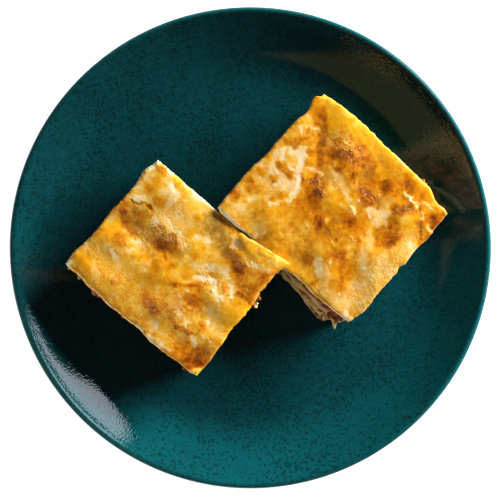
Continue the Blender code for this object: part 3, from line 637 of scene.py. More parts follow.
def make_plate(material):
    """The plate's profile spun round the vertical axis, with a pole at either end."""
    profile = plate_profile()
    rings = profile[1:-1]
    angle = 2 * math.pi * np.arange(PLATE_SEGMENTS) / PLATE_SEGMENTS
    circle = np.column_stack((np.cos(angle), np.sin(angle), np.zeros(PLATE_SEGMENTS)))
    points = rings[:, None, :1] * circle + rings[:, None, 1:] * np.array((0, 0, 1))
    points = np.vstack((points.reshape(-1, 3), (0, 0, profile[0, 1]), (0, 0, profile[-1, 1])))
    starts = np.arange(len(rings) - 1) * PLATE_SEGMENTS
    quads = np.vstack([ring_faces(PLATE_SEGMENTS, at, at + PLATE_SEGMENTS) for at in starts])
    here = np.arange(PLATE_SEGMENTS)
    following = (here + 1) % PLATE_SEGMENTS
    last = (len(rings) - 1) * PLATE_SEGMENTS
    under = np.column_stack((np.full(len(here), len(points) - 2), following, here))
    over = np.column_stack((np.full(len(here), len(points) - 1), last + here, last + following))
    radius = np.hypot(points[:, 0], points[:, 1])
    # The lip's lighter colour is partly glaze broken over its edge and partly painted light on its
    # shaded outer half
    rim = smooth_step((radius - PLATE_RADIUS) / RIM_WIDTH + 1) * (points[:, 2] > RIM_FROM_HEIGHT)
    wall = smooth_step((radius - WELL_RADIUS - WALL_FROM) / WALL_FADE) * (1 - rim)
    near = smooth_step(points @ NEAR_WAY / NEAR_FADE)
    # The walls on the near side get painted light, and those on the far side painted shade
    values = {
        "bare": smooth_step((BARE_HEIGHT - points[:, 2]) / BARE_FADE),
        "rim": rim,
        "thin": NEAR_WALL_LIGHT * wall * near,
        "thick": FAR_WALL_SHADE * wall * (1 - near),
    }
    triangles = np.vstack((under, over))
    return put_mesh("stoneware_plate", points, quads, triangles, material, values)


# Edges of the squares


def contact_axes(layer):
    """Start, way along, and way across to the right square, of the line between the squares."""
    slide = LAYER_SLIDES[LAYER_NAMES.index(layer)]
    start, end = CONTACT_TOP + (CONTACT_FLOOR - CONTACT_TOP) * slide
    along = (end - start) / np.linalg.norm(end - start)
    return start, along, np.array((-along[1], along[0]))


def contact_place(layer, points):
    """Distance along the line between the squares, and across it to the right square."""
    start, along, across = contact_axes(layer)
    return (points - start) @ along, (points - start) @ across


def quadrilateral(square, layer):
    """A layer's corners, from the far one anticlockwise, with its sides and outward normals."""
    top, floor = np.array((square.top_corners, square.floor_corners)) * MM
    corners = top + (floor - top) * LAYER_SLIDES[LAYER_NAMES.index(layer)]
    sides = np.roll(corners, -1, axis=0) - corners
    lengths = np.linalg.norm(sides, axis=1)
    normals = np.column_stack((sides[:, 1], -sides[:, 0])) / lengths[:, None]
    return corners, sides, lengths, normals


def middle_of(square):
    return quadrilateral(square, "top")[0].mean(axis=0, keepdims=True)


def even_samples(counts):
    """Side number and share of its length for each outline point, evenly spaced by side."""
    sides = np.repeat(np.arange(4), counts)
    return sides, np.concatenate([np.arange(count) / count for count in counts])


def wave(places, seed, shortest, longest, count=5):
    """A sum of sines of random length and phase, of about unit size, over a distance."""
    draw = np.random.default_rng(seed)
    lengths = draw.uniform(shortest, longest, count)
    phases = draw.uniform(0, 2 * math.pi, count)
    return np.sin(2 * math.pi * places[:, None] / lengths + phases).sum(axis=1) / math.sqrt(count)


def guide_ring(square, samples):
    """The plain edge of the square's top seen from above, its corners a little pulled in."""
    corners, directions, lengths, normals = quadrilateral(square, "top")
    sides, shares = samples
    points = corners[sides] + directions[sides] * shares[:, None]
    places = shares * lengths[sides]
    for turned, distance in ((-1, places), (1, lengths[sides] - places)):
        pull = CORNER_PULL * np.exp(-((distance / CORNER_REACH) ** 2))
        points -= (normals[sides] + normals[(sides + turned) % 4]) * pull[:, None]
    return points


def cast_to_sides(square, layer, samples):
    """Where the guide ring's rays from the square's middle meet a layer's quadrilateral.

    Gives the points, which side each is on, how far along it, and how square the ray meets it.
    """
    corners, directions, lengths, normals = quadrilateral(square, layer)
    middle = middle_of(square)
    rays = guide_ring(square, samples) - middle
    rays /= np.linalg.norm(rays, axis=1)[:, None]
    facing = rays @ normals.T
    depth = ((corners - middle) * normals).sum(axis=1)
    reaches = np.where(facing > 0, depth / np.where(facing > 0, facing, 1), np.inf)
    sides = reaches.argmin(axis=1)
    points = middle + rays * reaches.min(axis=1)[:, None]
    along = directions[sides] / lengths[sides][:, None]
    places = ((points - corners[sides]) * along).sum(axis=1)
    return points, sides, places, facing[np.arange(len(rays)), sides]


def outline(square, layer, samples):
    """The edge of one layer: inset, bowed, uneven, nicked by the knife, and with its bits.

    Each point lies on its ray from the square's middle, so that the layers match.
    """
    index = LAYER_NAMES.index(layer)
    lengths = quadrilateral(square, layer)[2]
    points, sides, places, facing = cast_to_sides(square, layer, samples)
    around = places + np.concatenate(([0], np.cumsum(lengths)))[sides]
    reach = EDGE_WAVE * wave(around, square.seed * 10 + index, 9 * MM, 40 * MM)
    reach += np.array(square.bows)[sides] * MM * (1 - (2 * places / lengths[sides] - 1) ** 4)
    reach -= LAYER_INSETS[index]
    shares_taken = {"all": 1, "slid": LAYER_SLIDES[index], layer: 1}
    for name, side, distance, half_width, size in square.bits:
        near = np.clip(np.abs(places / MM - distance) / half_width, 0, 1)
        bump = size * MM * np.cos(near * math.pi / 2) ** 2
        reach += bump * (sides == side) * shares_taken.get(name, 0)
    reach += EDGE_NICK * layered_noise(flat(points), EDGE_NICK_SIZE, square.seed + index, 4)
    spokes = points - middle_of(square)
    stretch = 1 + reach / facing / np.linalg.norm(spokes, axis=1)
    points = keep_apart(square, layer, middle_of(square) + spokes * stretch[:, None])
    if square is LEFT and layer == "top":
        points += tip_shift(points)
    return points


def keep_apart(square, layer, points):
    """Draws an outline in along its rays to its own side of the line between the squares.

    The right square is free of it where it reaches past the left one's near corner.
    """
    limit = RIGHT_LIMIT if square is RIGHT else LEFT_LIMIT
    line_length = np.linalg.norm(CONTACT_TOP[1] - CONTACT_TOP[0])
    start = contact_place(layer, middle_of(square))[1]
    place, distance = contact_place(layer, points)
    beyond = (distance - limit) * (limit - start) > 0
    if square is RIGHT:
        beyond &= place < line_length
    scale = np.where(beyond, (limit - start) / np.where(beyond, distance - start, 1), 1)
    return middle_of(square) + (points - middle_of(square)) * scale[:, None]


def tip_shift(points):
    """The shift that carries the left top's corner out over the right square."""
    _, along, across = contact_axes("top")
    place, distance = contact_place("top", points)
    share = np.clip((place - TIP_FROM) / TIP_RUN, 0, 1) * smooth_step(1 + distance / TIP_ROOT)
    return share[:, None] * (TIP_ACROSS * across + TIP_ALONG * along)


# Heights of the squares


def ripple(square, points):
    """Random low swells of unit size, from seeded plane waves."""
    draw = np.random.default_rng(square.seed)
    lengths = draw.uniform(18, 42, RIPPLE_WAVES) * MM
    angles = draw.uniform(0, 2 * math.pi, RIPPLE_WAVES)
    phases = draw.uniform(0, 2 * math.pi, RIPPLE_WAVES)
    ways = np.column_stack((np.cos(angles), np.sin(angles))) / lengths[:, None]
    return np.sin(2 * math.pi * points @ ways.T + phases).sum(axis=1) / math.sqrt(RIPPLE_WAVES)


def swollen_height(square, points):
    """Height of the browned top with its swells and humps, before its edges droop."""
    height = np.full(len(points), square.top * MM)
    height += RIPPLE_HEIGHT * ripple(square, points)
    for x, y, radius, rise in square.humps:
        away = np.linalg.norm(points - np.array((x, y)) * MM, axis=1) / (radius * MM)
        height += rise * MM * np.exp(-(away**2))
    return height


def top_height(square, points):
    """Height of the browned top, which droops a little at the cut edges."""
    corners, _, _, normals = quadrilateral(square, "top")
    inward = [(corner - points) @ normal for corner, normal in zip(corners, normals)]
    inside = np.clip(np.min(inward, axis=0) / EDGE_DROOP_REACH, 0, 1)
    return swollen_height(square, points) - EDGE_DROOP * (1 - inside) ** 2


def level_height(square, level, points):
    """Height of the surface under layer number level, between the plate and the browned top."""
    floor = plate_surface(np.linalg.norm(points, axis=1)) + STAND_CLEAR
    share = LAYER_DEPTHS[:level].sum() / LAYER_DEPTHS.sum()
    return floor + (swollen_height(square, points) - floor) * share


def sheet_swell(square, level, points):
    """How far the pasta sheet that this level bounds is waved up or down at the cut sides."""
    if level < 2 or level > 5:
        return np.zeros(len(points))
    offset = points - middle_of(square)
    around = np.arctan2(offset[:, 1], offset[:, 0])
    phase = square.seed + 2.3 * (level // 2)
    return SHEET_WAVE * (np.sin(5 * around + phase) + 0.6 * np.sin(8 * around - phase))


def face_rings(square, level, edge, offset, samples):
    """Outer and inner ring of one face of a layer, and its middle point.

    Both faces that meet at a level are ruled through the same guide ring, so that they stay
    together however far their edges reach.
    """
    centre = middle_of(square)
    guide = guide_ring(square, samples)
    inner = centre + (guide - centre) * INNER_RING
    swell = sheet_swell(square, level, guide)
    guide_height = level_height(square, level, guide) + swell
    inner_height = level_height(square, level, inner) + swell * INNER_RING
    span = guide - inner
    share = ((edge - inner) * span).sum(axis=1) / (span * span).sum(axis=1)
    edge_height = inner_height + (guide_height - inner_height) * share
    middle_height = level_height(square, level, centre)
    return (
        raised(edge, edge_height + offset),
        raised(inner, inner_height + offset),
        raised(centre, middle_height + offset),
    )


def outward_normals(edge):
    """Outward directions at the points of an anticlockwise outline, evened over neighbours."""
    way = np.roll(edge, -4, axis=0) - np.roll(edge, 4, axis=0)
    normals = np.column_stack((way[:, 1], -way[:, 0]))
    return normals / np.linalg.norm(normals, axis=1)[:, None]


# Browned tops


def mark_strength(square, kind, points):
    """How strongly each point carries a kind of mark: strokes with soft, wandering edges."""
    wander = np.column_stack(
        [
            layered_noise(flat(points), STROKE_WANDER_SIZE, square.seed + shift, 3)
            for shift in (31, 47)
        ]
    )
    moved = points / MM + STROKE_WANDER * wander
    strength = np.zeros(len(points))
    for x, y, end_x, end_y, half_width, amount in square.marks[kind]:
        start, span = np.array((x, y)), np.array((end_x - x, end_y - y))
        length = max(float(span @ span), 1e-9)
        share = np.clip((moved - start) @ span / length, 0, 1)
        away = np.linalg.norm(moved - start - share[:, None] * span, axis=1) / half_width
        faded = smooth_step((STROKE_END - away) / STROKE_FADE)
        strength = np.maximum(strength, amount * faded)
    return strength


def top_skin(square, points):
    """Relief of the browned skin, and how browned, creamy, golden, olive and pearly it is.

    The relief adds soft dimples, round blisters and fine grain to what the marks raise or
    sink. Blisters brown more than the hollows between them. Part of the olive is painted
    shade, and part of the cream is painted highlight.
    """
    place = flat(points)
    seed = square.seed
    fine = layered_noise(place, FINE_PATCH, seed + 2, 3)
    browned = square.browning + 0.11 * layered_noise(place, BROWN_PATCH, seed + 1, 3)
    browned += 0.09 * fine
    relief = 0.13 * layered_noise(place, DIMPLE, seed + 3, 2) + 0.02 * fine
    creamy = smooth_step(1.3 * layered_noise(place, CREAM_PATCH, seed + 5, 3))
    creamy *= 0.08 + 0.34 * square.grain
    golden = 0.5 * smooth_step(1.2 * layered_noise(place, GOLD_PATCH, seed + 6, 3) + 0.4)
    olive = 0.15 * smooth_step(1.6 * layered_noise(place, OLIVE_PATCH, seed + 8, 3))
    for kind, (brown, cream, gold, green, rise) in MARK_KINDS.items():
        strength = mark_strength(square, kind, points)
        browned += brown * strength
        creamy += cream * strength
        golden += gold * strength
        olive += green * strength
        relief += rise * strength
    near, _, number = cell_noise(place, BLISTER, seed + 11, level=True)
    blistered = layered_noise(place, BLISTERED_PATCH, seed + 21, 2)
    blistered = smooth_step(1.3 * blistered + 0.45)
    blister = np.clip(1 - (near / (0.22 + 0.3 * number)) ** 2, 0, 1) * (number > 0.35)
    browned += 0.12 * blistered * blister * (number - 0.2)
    relief += 0.07 * blistered * blister * number
    pearls = mark_strength(square, "pearls", points)
    pearls = np.maximum(pearls, 0.25 * square.grain * blistered)
    near, _, number = cell_noise(place, PEARL, seed + 13, level=True)
    pearl = np.clip(1 - (near / (0.3 + 0.25 * number)) ** 2, 0, 1)
    relief += 0.1 * pearls * pearl
    # Cream on some pearls is partly froth and partly painted highlight
    creamy += 0.4 * pearls * pearl * (number > 0.55)
    creamy = 1 - np.exp(-1.35 * np.maximum(creamy, 0))
    return relief * MM, browned, creamy, golden, olive, pearls


def make_top(square, material):
    """The uppermost sheet with its browned cheese.

    Seen from above it is a patch blended between the four sides of its outline; its height is
    a function of place. A skirt of rings forms the cut side, and a fan closes the underside.
    """
    across, down = TOP_GRID
    counts = (across, down, across, down)
    samples = even_samples(counts)
    edge = outline(square, "top", samples)
    starts = np.concatenate(([0], np.cumsum(counts)))
    closed = np.vstack((edge, edge[:1]))
    ab, bc, cd, da = (closed[starts[side] : starts[side + 1] + 1] for side in range(4))
    u = (np.arange(across + 1) / across)[:, None, None]
    v = (np.arange(down + 1) / down)[None, :, None]
    patch = (1 - v) * ab[:, None] + v * cd[::-1][:, None]
    patch = patch + (1 - u) * da[::-1][None] + u * bc[None]
    patch -= (1 - u) * (1 - v) * ab[0] + u * (1 - v) * bc[0] + u * v * cd[0]
    patch -= (1 - u) * v * da[0]
    plan = patch.reshape(-1, 2)
    lengths = quadrilateral(square, "top")[2]
    from_side = (u[..., 0] * lengths[0], (1 - u[..., 0]) * lengths[0])
    from_end = (v[..., 0] * lengths[1], (1 - v[..., 0]) * lengths[1])
    gaps = np.stack(np.broadcast_arrays(from_end[0], from_side[1], from_end[1], from_side[0]))
    gaps = gaps.reshape(4, -1)
    from_edge = gaps.min(axis=0)
    relief, browned, creamy, golden, olive, pearls = top_skin(square, plan)
    near_edge = np.clip(1 - from_edge / EDGE_DROOP_REACH, 0, 1)
    ragged = layered_noise(flat(plan), RAGGED_SIZE, square.seed + 61, 3)
    relief += RAGGED_RISE * ragged * near_edge
    rounding = TOP_ROUNDING * np.clip(1 - from_edge / ROUNDING_REACH, 0, 1) ** 2
    droop = EDGE_DROOP * near_edge**2
    height = swollen_height(square, plan) + relief - rounding - droop
    low, low_inner, bottom = face_rings(
        square, LAYER_NAMES.index("top"), edge, LAYER_SEAM / 2, samples
    )
    if square is LEFT:
        for ring in (low, low_inner):
            lift = np.maximum(resting_height(ring[:, :2]) - ring[:, 2], 0)
            ring[:, 2] += tip_blend(ring[:, :2]) * lift
        height += tip_blend(plan) * np.maximum(
            resting_height(plan) + TIP_THICKNESS - rounding - height, 0
        )
    index = np.arange(len(plan)).reshape(across + 1, down + 1)
    loop = np.concatenate((index[:-1, 0], index[-1, :-1], index[:0:-1, -1], index[0, :0:-1]))
    height[loop] = np.maximum(height[loop], low[:, 2] + EDGE_LEAST)
    grid = raised(plan, height)
    cell_corners = (index[:-1, :-1], index[1:, :-1], index[1:, 1:], index[:-1, 1:])
    quads = [np.column_stack([corner.ravel() for corner in cell_corners])]
    cut = [np.zeros(len(grid))]
    first = len(grid)
    rings = []
    normals = outward_normals(edge)
    count = len(loop)
    for step in range(1, TOP_SIDE_RINGS + 1):
        share = step / TOP_SIDE_RINGS
        ring = grid[loop] * (1 - share) + low * share
        if step < TOP_SIDE_RINGS:
            grain = layered_noise(ring, SKIRT_GRAIN_SIZE, square.seed + 17, 3)
            out = SKIRT_SWELL * math.sin(math.pi * share) + SKIRT_GRAIN * grain * min(1, 3 * share)
            ring[:, :2] += normals * out[:, None] * MM
        rings.append(ring)
        cut.append(np.full(count, min(1, 1.6 * share)))
    rings.append(low_inner)
    cut.append(np.ones(count))
    starts = first + count * np.arange(len(rings))
    outer = np.roll(np.arange(count), -1)
    quads.append(np.column_stack((loop, first + np.arange(count), first + outer, loop[outer])))
    for under, over in zip(starts[1:], starts[:-1]):
        quads.append(ring_faces(count, under, over))
    base = first + len(rings) * count
    here = starts[-1] + np.arange(count)
    triangles = np.column_stack((np.full(count, base), here[outer], here))
    points = np.vstack([grid, *rings, bottom])
    strip = np.zeros(len(grid))
    for side in range(4):
        near_side = 1 - gaps[side] / RIM_STRIP
        strip = np.maximum(strip, square.rims[side] * smooth_step(near_side))
    if square is LEFT:
        strip *= 1 - tip_blend(plan)
    strip *= 0.7 + 0.5 * layered_noise(flat(plan), RIM_STRIP_PATCH, 5, 2)
    skin = {
        "browned": browned,
        "creamy": creamy + RIM_CREAM * strip,
        "golden": golden,
        "olive": olive,
        "pearly": pearls,
    }
    attributes = {
        label: np.concatenate((values, np.tile(values[loop], len(rings)), [UNDERSIDE_VALUE]))
        for label, values in skin.items()
    }
    attributes["cut"] = np.concatenate((*cut, [1.0]))
    name = f"{square.name}_browned_top"
    return put_mesh(name, points, np.vstack(quads), triangles, material, attributes)


def resting_height(points):
    """Height of the right square's skin, on which the left one's tip lies."""
    return top_height(RIGHT, points) + top_skin(RIGHT, points)[0] + TOUCH_GAP


def tip_blend(points):
    """0 on the left square itself, rising smoothly to 1 where its tip lies on the right one."""
    place, distance = contact_place("top", points)
    return smooth_step((place - TIP_FROM) / TIP_ROOT + 1) * smooth_step(1.3 + distance / TIP_ROOT)


# Sheets and sauce between them


def crumbled(points, seed):
    """How far minced meat stands out of the side: packed crumbs, each a dome, with hollows."""
    near, second, number = cell_noise(points, MEAT_CRUMB, seed)
    dome = np.sqrt(np.clip(second - near, 0, 1)) * (0.4 + 0.9 * number)
    small_near, small_second, _ = cell_noise(points, SMALL_CRUMB, seed + 9)
    small = np.sqrt(np.clip(small_second - small_near, 0, 1))
    swell = lattice_noise(points, MEAT_SWELL, seed + 3)
    return (0.95 * dome + 0.3 * small + 0.5 * swell - 0.75) * MM


def crumb_lumps(square, layer):
    """Crumbs stuck to a layer's side: small balls whose radius wanders with lattice noise."""
    rows, columns = LUMP_GRID
    tilt = (np.arange(rows) + 1) * math.pi / (rows + 1)
    turn = 2 * math.pi * np.arange(columns) / columns
    ball = np.stack(
        (
            np.outer(np.sin(tilt), np.cos(turn)),
            np.outer(np.sin(tilt), np.sin(turn)),
            np.outer(-np.cos(tilt), np.ones(columns)),
        ),
        axis=-1,
    ).reshape(-1, 3)
    ball = np.vstack((ball, (0, 0, -1), (0, 0, 1)))
    here = np.arange(columns)
    following = (here + 1) % columns
    last = (rows - 1) * columns
    quads = np.vstack([ring_faces(columns, at, at + columns) for at in range(0, last, columns)])
    bottom = np.column_stack((np.full(columns, len(ball) - 2), following, here))
    top = np.column_stack((np.full(columns, len(ball) - 1), last + here, last + following))
    lumps = []
    for number, (name, x, y, z, radius) in enumerate(square.crumbs):
        if name == layer:
            size = 1 + 0.45 * layered_noise(ball, 0.9, square.seed + number, 2)
            points = (np.array((x, y, z)) + ball * size[:, None] * radius) * MM
            lumps.append((points, quads, np.vstack((bottom, top))))
    return lumps


def make_filling_layer(square, layer, material):
    """A pasta sheet or a layer of meat sauce, its side a profile carried round the outline."""
    index = LAYER_NAMES.index(layer)
    samples = even_samples((SIDE_POINTS,) * 4)
    edge = outline(square, layer, samples)
    low, low_inner, bottom = face_rings(square, index, edge, LAYER_SEAM / 2, samples)
    high, high_inner, top = face_rings(square, index + 1, edge, -LAYER_SEAM / 2, samples)
    normals = outward_normals(edge)
    seed = square.seed * 100 + index
    meat = layer.startswith("meat")
    steps = MEAT_RINGS if meat else SHEET_RINGS
    side_rings = []
    for step in range(steps + 1):
        share = step / steps
        ring = low * (1 - share) + high * share
        if meat:
            arch = math.sin(math.pi * share)
            out = crumbled(ring, seed) * (0.35 + 0.65 * arch) - MEAT_GROOVE * (1 - arch) ** 3
        else:
            rounding = math.sqrt(max(0, 1 - (2 * share - 1) ** 2)) - 1
            grain = layered_noise(ring, SHEET_GRAIN_SIZE, seed, 3)
            out = SHEET_ROUNDING * rounding + SHEET_GRAIN * grain
        ring[:, :2] = keep_apart(square, layer, ring[:, :2] + normals * out[:, None])
        side_rings.append(ring)
    rings = [low_inner, *side_rings, high_inner]
    count = len(edge)
    points = np.vstack([*rings, bottom, top])
    base, peak = len(points) - 2, len(points) - 1
    starts = np.arange(len(rings)) * count
    quads = np.vstack([ring_faces(count, at, at + count) for at in starts[:-1]])
    here = np.arange(count)
    following = (here + 1) % count
    triangles = np.vstack(
        (
            np.column_stack((np.full(count, base), following, here)),
            np.column_stack((np.full(count, peak), starts[-1] + here, starts[-1] + following)),
        )
    )
    for lump_points, lump_quads, lump_triangles in crumb_lumps(square, layer):
        quads = np.vstack((quads, lump_quads + len(points)))
        triangles = np.vstack((triangles, lump_triangles + len(points)))
        points = np.vstack((points, lump_points))
    word = "sauce" if meat else "pasta"
    name = f"{square.name}_{word}_{layer[-1]}"
    return put_mesh(name, points, quads, triangles, material)


# Finishes

# The output that a kind of node hands on, where that isn't its first
MAIN_OUTPUTS = {"Mix": 2, "VectorMath": "Value", "Attribute": "Fac", "TexCoord": "Object"}


def linear(colour):
    """An sRGB hex colour as linear red, green, blue and 1."""
    parts = np.array([int(colour[at : at + 2], 16) for at in (0, 2, 4)]) / 255
    parts = np.where(parts <= 0.04045, parts / 12.92, ((parts + 0.055) / 1.055) ** 2.4)
    return (*parts.tolist(), 1.0)


def grey(value):
    return (value, value, value, 1.0)


def fill(tree, made, settings):
    """Gives a node its settings: ramp stops, links from other nodes, inputs and properties."""
    for label, value in settings.items():
        if label == "stops":
            elements = made.color_ramp.elements
            while len(elements) < len(value):
                elements.new(0.5)
            for element, (place, colour) in zip(elements, value):
                element.position = place
                element.color = linear(colour)
        elif isinstance(value, bpy.types.NodeSocket):
            tree.links.new(value, made.inputs[label])
        elif isinstance(label, int) or label in made.inputs:
            made.inputs[label].default_value = linear(value) if isinstance(value, str) else value
        else:
            setattr(made, label, value)


def node(tree, kind, settings=None):
    """Adds a node with its settings and links, and gives its main output.

    Inputs go by name or number: a Mix has its share at 0 and its colours at 6 and 7, and a
    MapRange its value at 0, the range that comes in at 1 and 2, and the one that goes out at
    3 and 4.
    """
    made = tree.nodes.new("ShaderNode" + kind)
    fill(tree, made, settings or {})
    return made.outputs[MAIN_OUTPUTS.get(kind, 0)]


def new_material(name, settings):
    """A material with a Principled shader of the given settings; gives its tree too."""
    material = bpy.data.materials.new(name)
    material.use_nodes = True
    tree = material.node_tree
    shader = tree.nodes["Principled BSDF"]
    fill(tree, shader, settings)
    return material, tree, shader


def stoneware_glaze():
    """Reactive teal glaze, poured over stoneware and fired.

    It reads as a deep blue-green with darker iron specks of 0.5 to 1.5 mm, softly mottled
    where the glaze ran thicker and lighter towards the near side, with a wet gloss and a
    slightly pitted skin. The walls carry painted light on the near side and painted shade on
    the far side, and the lip is lighter, partly where the glaze breaks over it and partly as
    painted light. The foot is wiped bare, so that its sandy clay shows.
    """
    material, tree, shader = new_material("stoneware_glaze", {"IOR": 1.5, "Specular IOR Level": 0.3})
    at = {"Vector": node(tree, "TexCoord")}
    # Pools of 36 mm, clouds of 4 mm, specks of 1.6 mm in crowds of 22 mm, pits of 1.3 mm
    pools = node(tree, "TexNoise", {**at, "Scale": 28, "Detail": 4, "Roughness": 0.6})
    cloud = node(tree, "TexNoise", {**at, "Scale": 260, "Detail": 4, "Roughness": 0.65})
    specks = node(tree, "TexNoise", {**at, "Scale": 640, "Detail": 3, "Roughness": 0.55})
    crowd = node(tree, "TexNoise", {**at, "Scale": 45, "Detail": 2})
    pits = node(tree, "TexNoise", {**at, "Scale": 800, "Detail": 1, "Roughness": 0.5})
    lean = node(tree, "VectorMath", {"operation": "DOT_PRODUCT", 0: at["Vector"], 1: NEAR_WAY})
    gradient = node(tree, "MapRange", {0: lean, 1: -0.12, 2: 0.12, 3: 0.3, 4: 0.57})
    pooled = node(tree, "Math", {"operation": "MULTIPLY_ADD", 0: pools, 1: 0.5, 2: gradient})
    clouded = node(tree, "Math", {"operation": "MULTIPLY_ADD", 0: cloud, 1: 0.9, 2: pooled})
    level = node(tree, "Math", {"operation": "SUBTRACT", 0: clouded, 1: 0.45})
    tone = ((0.25, "04292e"), (0.5, "06373c"), (0.75, "074047"), (1.0, "074c54"))
    crowded = node(tree, "Math", {"operation": "MULTIPLY_ADD", 0: crowd, 1: 0.25, 2: specks})
    speck = node(tree, "MapRange", {0: crowded, 1: 0.65, 2: 0.76, 3: 0.0, 4: 0.62})
    thin, thick, rim, bare = (
        node(tree, "Attribute", {"attribute_name": label})
        for label in ("thin", "thick", "rim", "bare")
    )
    # Lighter lip: partly glaze broken over the edge, partly painted light on its shaded outer half
    lip_break_and_light = node(tree, "Math", {"operation": "MULTIPLY", 0: rim, 1: 0.8})
    colour = node(tree, "ValToRGB", {"Fac": level, "stops": tone})
    # Over the mottled tone: painted light on the near walls, painted shade on the far walls, the
    # specks, the lip and the bare foot
    overlays = (
        (thin, "066067"),
        (thick, "01191c"),
        (speck, "051416"),
        (lip_break_and_light, "1f6a70"),
        (bare, "b9a58c"),
    )
    for share, over in overlays:
        colour = node(tree, "Mix", {"data_type": "RGBA", 0: share, 6: colour, 7: over})
    settings = {
        "Base Color": colour,
        "Roughness": node(tree, "MapRange", {0: bare, 3: 0.03, 4: 0.85}),
        "Normal": node(tree, "Bump", {"Strength": 1.0, "Distance": 0.05 * MM, "Height": pits}),
    }
    fill(tree, shader, settings)
    return material


def baked_cheese():
    """Mozzarella and hard cheese melted over a pasta sheet and browned in the oven.

    It runs from cream through gold and orange to brown blisters, with olive where the sauce
    shows through and as painted shade along the seam between the squares and in creases, fine
    grain of half a millimetre, and an oily shine. Pale flecks and cream on small ridges are
    partly painted highlights.
    """
    material, tree, shader = new_material(
        "baked_cheese",
        {
            "IOR": 1.46,
            "Specular IOR Level": 0.15,
            "Subsurface Weight": 0.4,
            "Subsurface Radius": (1.0, 0.5, 0.2),
            "Subsurface Scale": 2 * MM,
            "Coat Weight": 0.8,
            "Coat Roughness": 0.08,
        },
    )
    at = {"Vector": node(tree, "TexCoord")}
    # Mottle of 1.9 mm, curds of 2.8 mm, froth and painted sparkle of 0.9 mm, grain of 0.7 mm, oil of
    # 1.4 mm
    mottle = node(tree, "TexNoise", {**at, "Scale": 520, "Detail": 4, "Roughness": 0.65})
    curd = node(tree, "TexNoise", {**at, "Scale": 360, "Detail": 3, "Roughness": 0.62})
    froth_sparkle_noise = node(tree, "TexNoise", {**at, "Scale": 1100, "Detail": 1.5, "Roughness": 0.5})
    grain = node(tree, "TexNoise", {**at, "Scale": 1500, "Detail": 3, "Roughness": 0.6})
    oil = node(tree, "TexNoise", {**at, "Scale": 700, "Detail": 2})
    browned, creamy, golden, olive, pearly, cut = (
        node(tree, "Attribute", {"attribute_name": label})
        for label in ("browned", "creamy", "golden", "olive", "pearly", "cut")
    )
    mottled = node(tree, "Math", {"operation": "MULTIPLY_ADD", 0: mottle, 1: 0.45, 2: browned})
    level = node(tree, "Math", {"operation": "SUBTRACT", 0: mottled, 1: 0.235})
    browning = (
        (0.08, "fbe7a6"),
        (0.22, "f7d677"),
        (0.33, "efc043"),
        (0.44, "e5a418"),
        (0.56, "d98b07"),
        (0.68, "c27004"),
        (0.81, "9c5003"),
        (0.95, "703202"),
    )
    curds = node(tree, "MapRange", {0: curd, 1: 0.5, 2: 0.7, 3: 0.0, 4: 0.7})
    plain = node(tree, "MapRange", {0: browned, 1: 0.3, 2: 0.65, 3: 1.0, 4: 0.0})
    pale = node(tree, "Math", {"operation": "MULTIPLY", 0: curds, 1: plain})
    creamier = node(tree, "Math", {"operation": "MAXIMUM", "use_clamp": True, 0: pale, 1: creamy})
    milk = ((0.25, "f3c95a"), (0.55, "f9dc94"), (0.8, "fff0cf"))
    # Pale flecks on the froth, partly painted sparkle of the oil
    froth_and_sparkle = node(tree, "MapRange", {0: froth_sparkle_noise, 1: 0.56, 2: 0.66, 3: 0.0, 4: 0.85})
    flecked = node(tree, "Math", {"operation": "MULTIPLY_ADD", 0: pearly, 1: 0.7, 2: -0.06})
    colour = node(tree, "ValToRGB", {"Fac": level, "stops": browning})
    overlays = (
        (golden, 0.75, "f2b00e"),
        (olive, 0.8, "8c6c24"),
        (creamier, 1.05, node(tree, "ValToRGB", {"Fac": creamier, "stops": milk})),
        (froth_and_sparkle, flecked, "fdf0cc"),
        (cut, 1.0, "e8cf96"),
    )
    for share, strength, over in overlays:
        share = node(
            tree, "Math", {"operation": "MULTIPLY", "use_clamp": True, 0: share, 1: strength}
        )
        colour = node(tree, "Mix", {"data_type": "RGBA", 0: share, 6: colour, 7: over})
    drops = node(
        tree, "TexVoronoi", {"feature": "SMOOTH_F1", **at, "Scale": 640, "Smoothness": 0.3}
    )
    beaded = node(tree, "Math", {"operation": "MULTIPLY", 0: drops, 1: pearly})
    beads = node(
        tree,
        "Bump",
        {"invert": True, "Strength": 1.0, "Distance": 0.25 * MM, "Height": beaded},
    )
    oily = node(tree, "Math", {"operation": "MULTIPLY_ADD", 0: pearly, 1: 0.8, 2: 0.22})
    oiled = node(tree, "Math", {"operation": "MULTIPLY", 0: oil, 1: oily})
    settings = {
        "Base Color": colour,
        "Roughness": node(tree, "MapRange", {0: mottle, 1: 0.3, 2: 0.7, 3: 0.22, 4: 0.5}),
        "Normal": node(
            tree, "Bump", {"Strength": 0.5, "Distance": 0.12 * MM, "Height": grain, "Normal": beads}
        ),
        "Coat Normal": node(
            tree, "Bump", {"Strength": 1.0, "Distance": 0.8 * MM, "Height": oiled, "Normal": beads}
        ),
    }
    fill(tree, shader, settings)
    return material


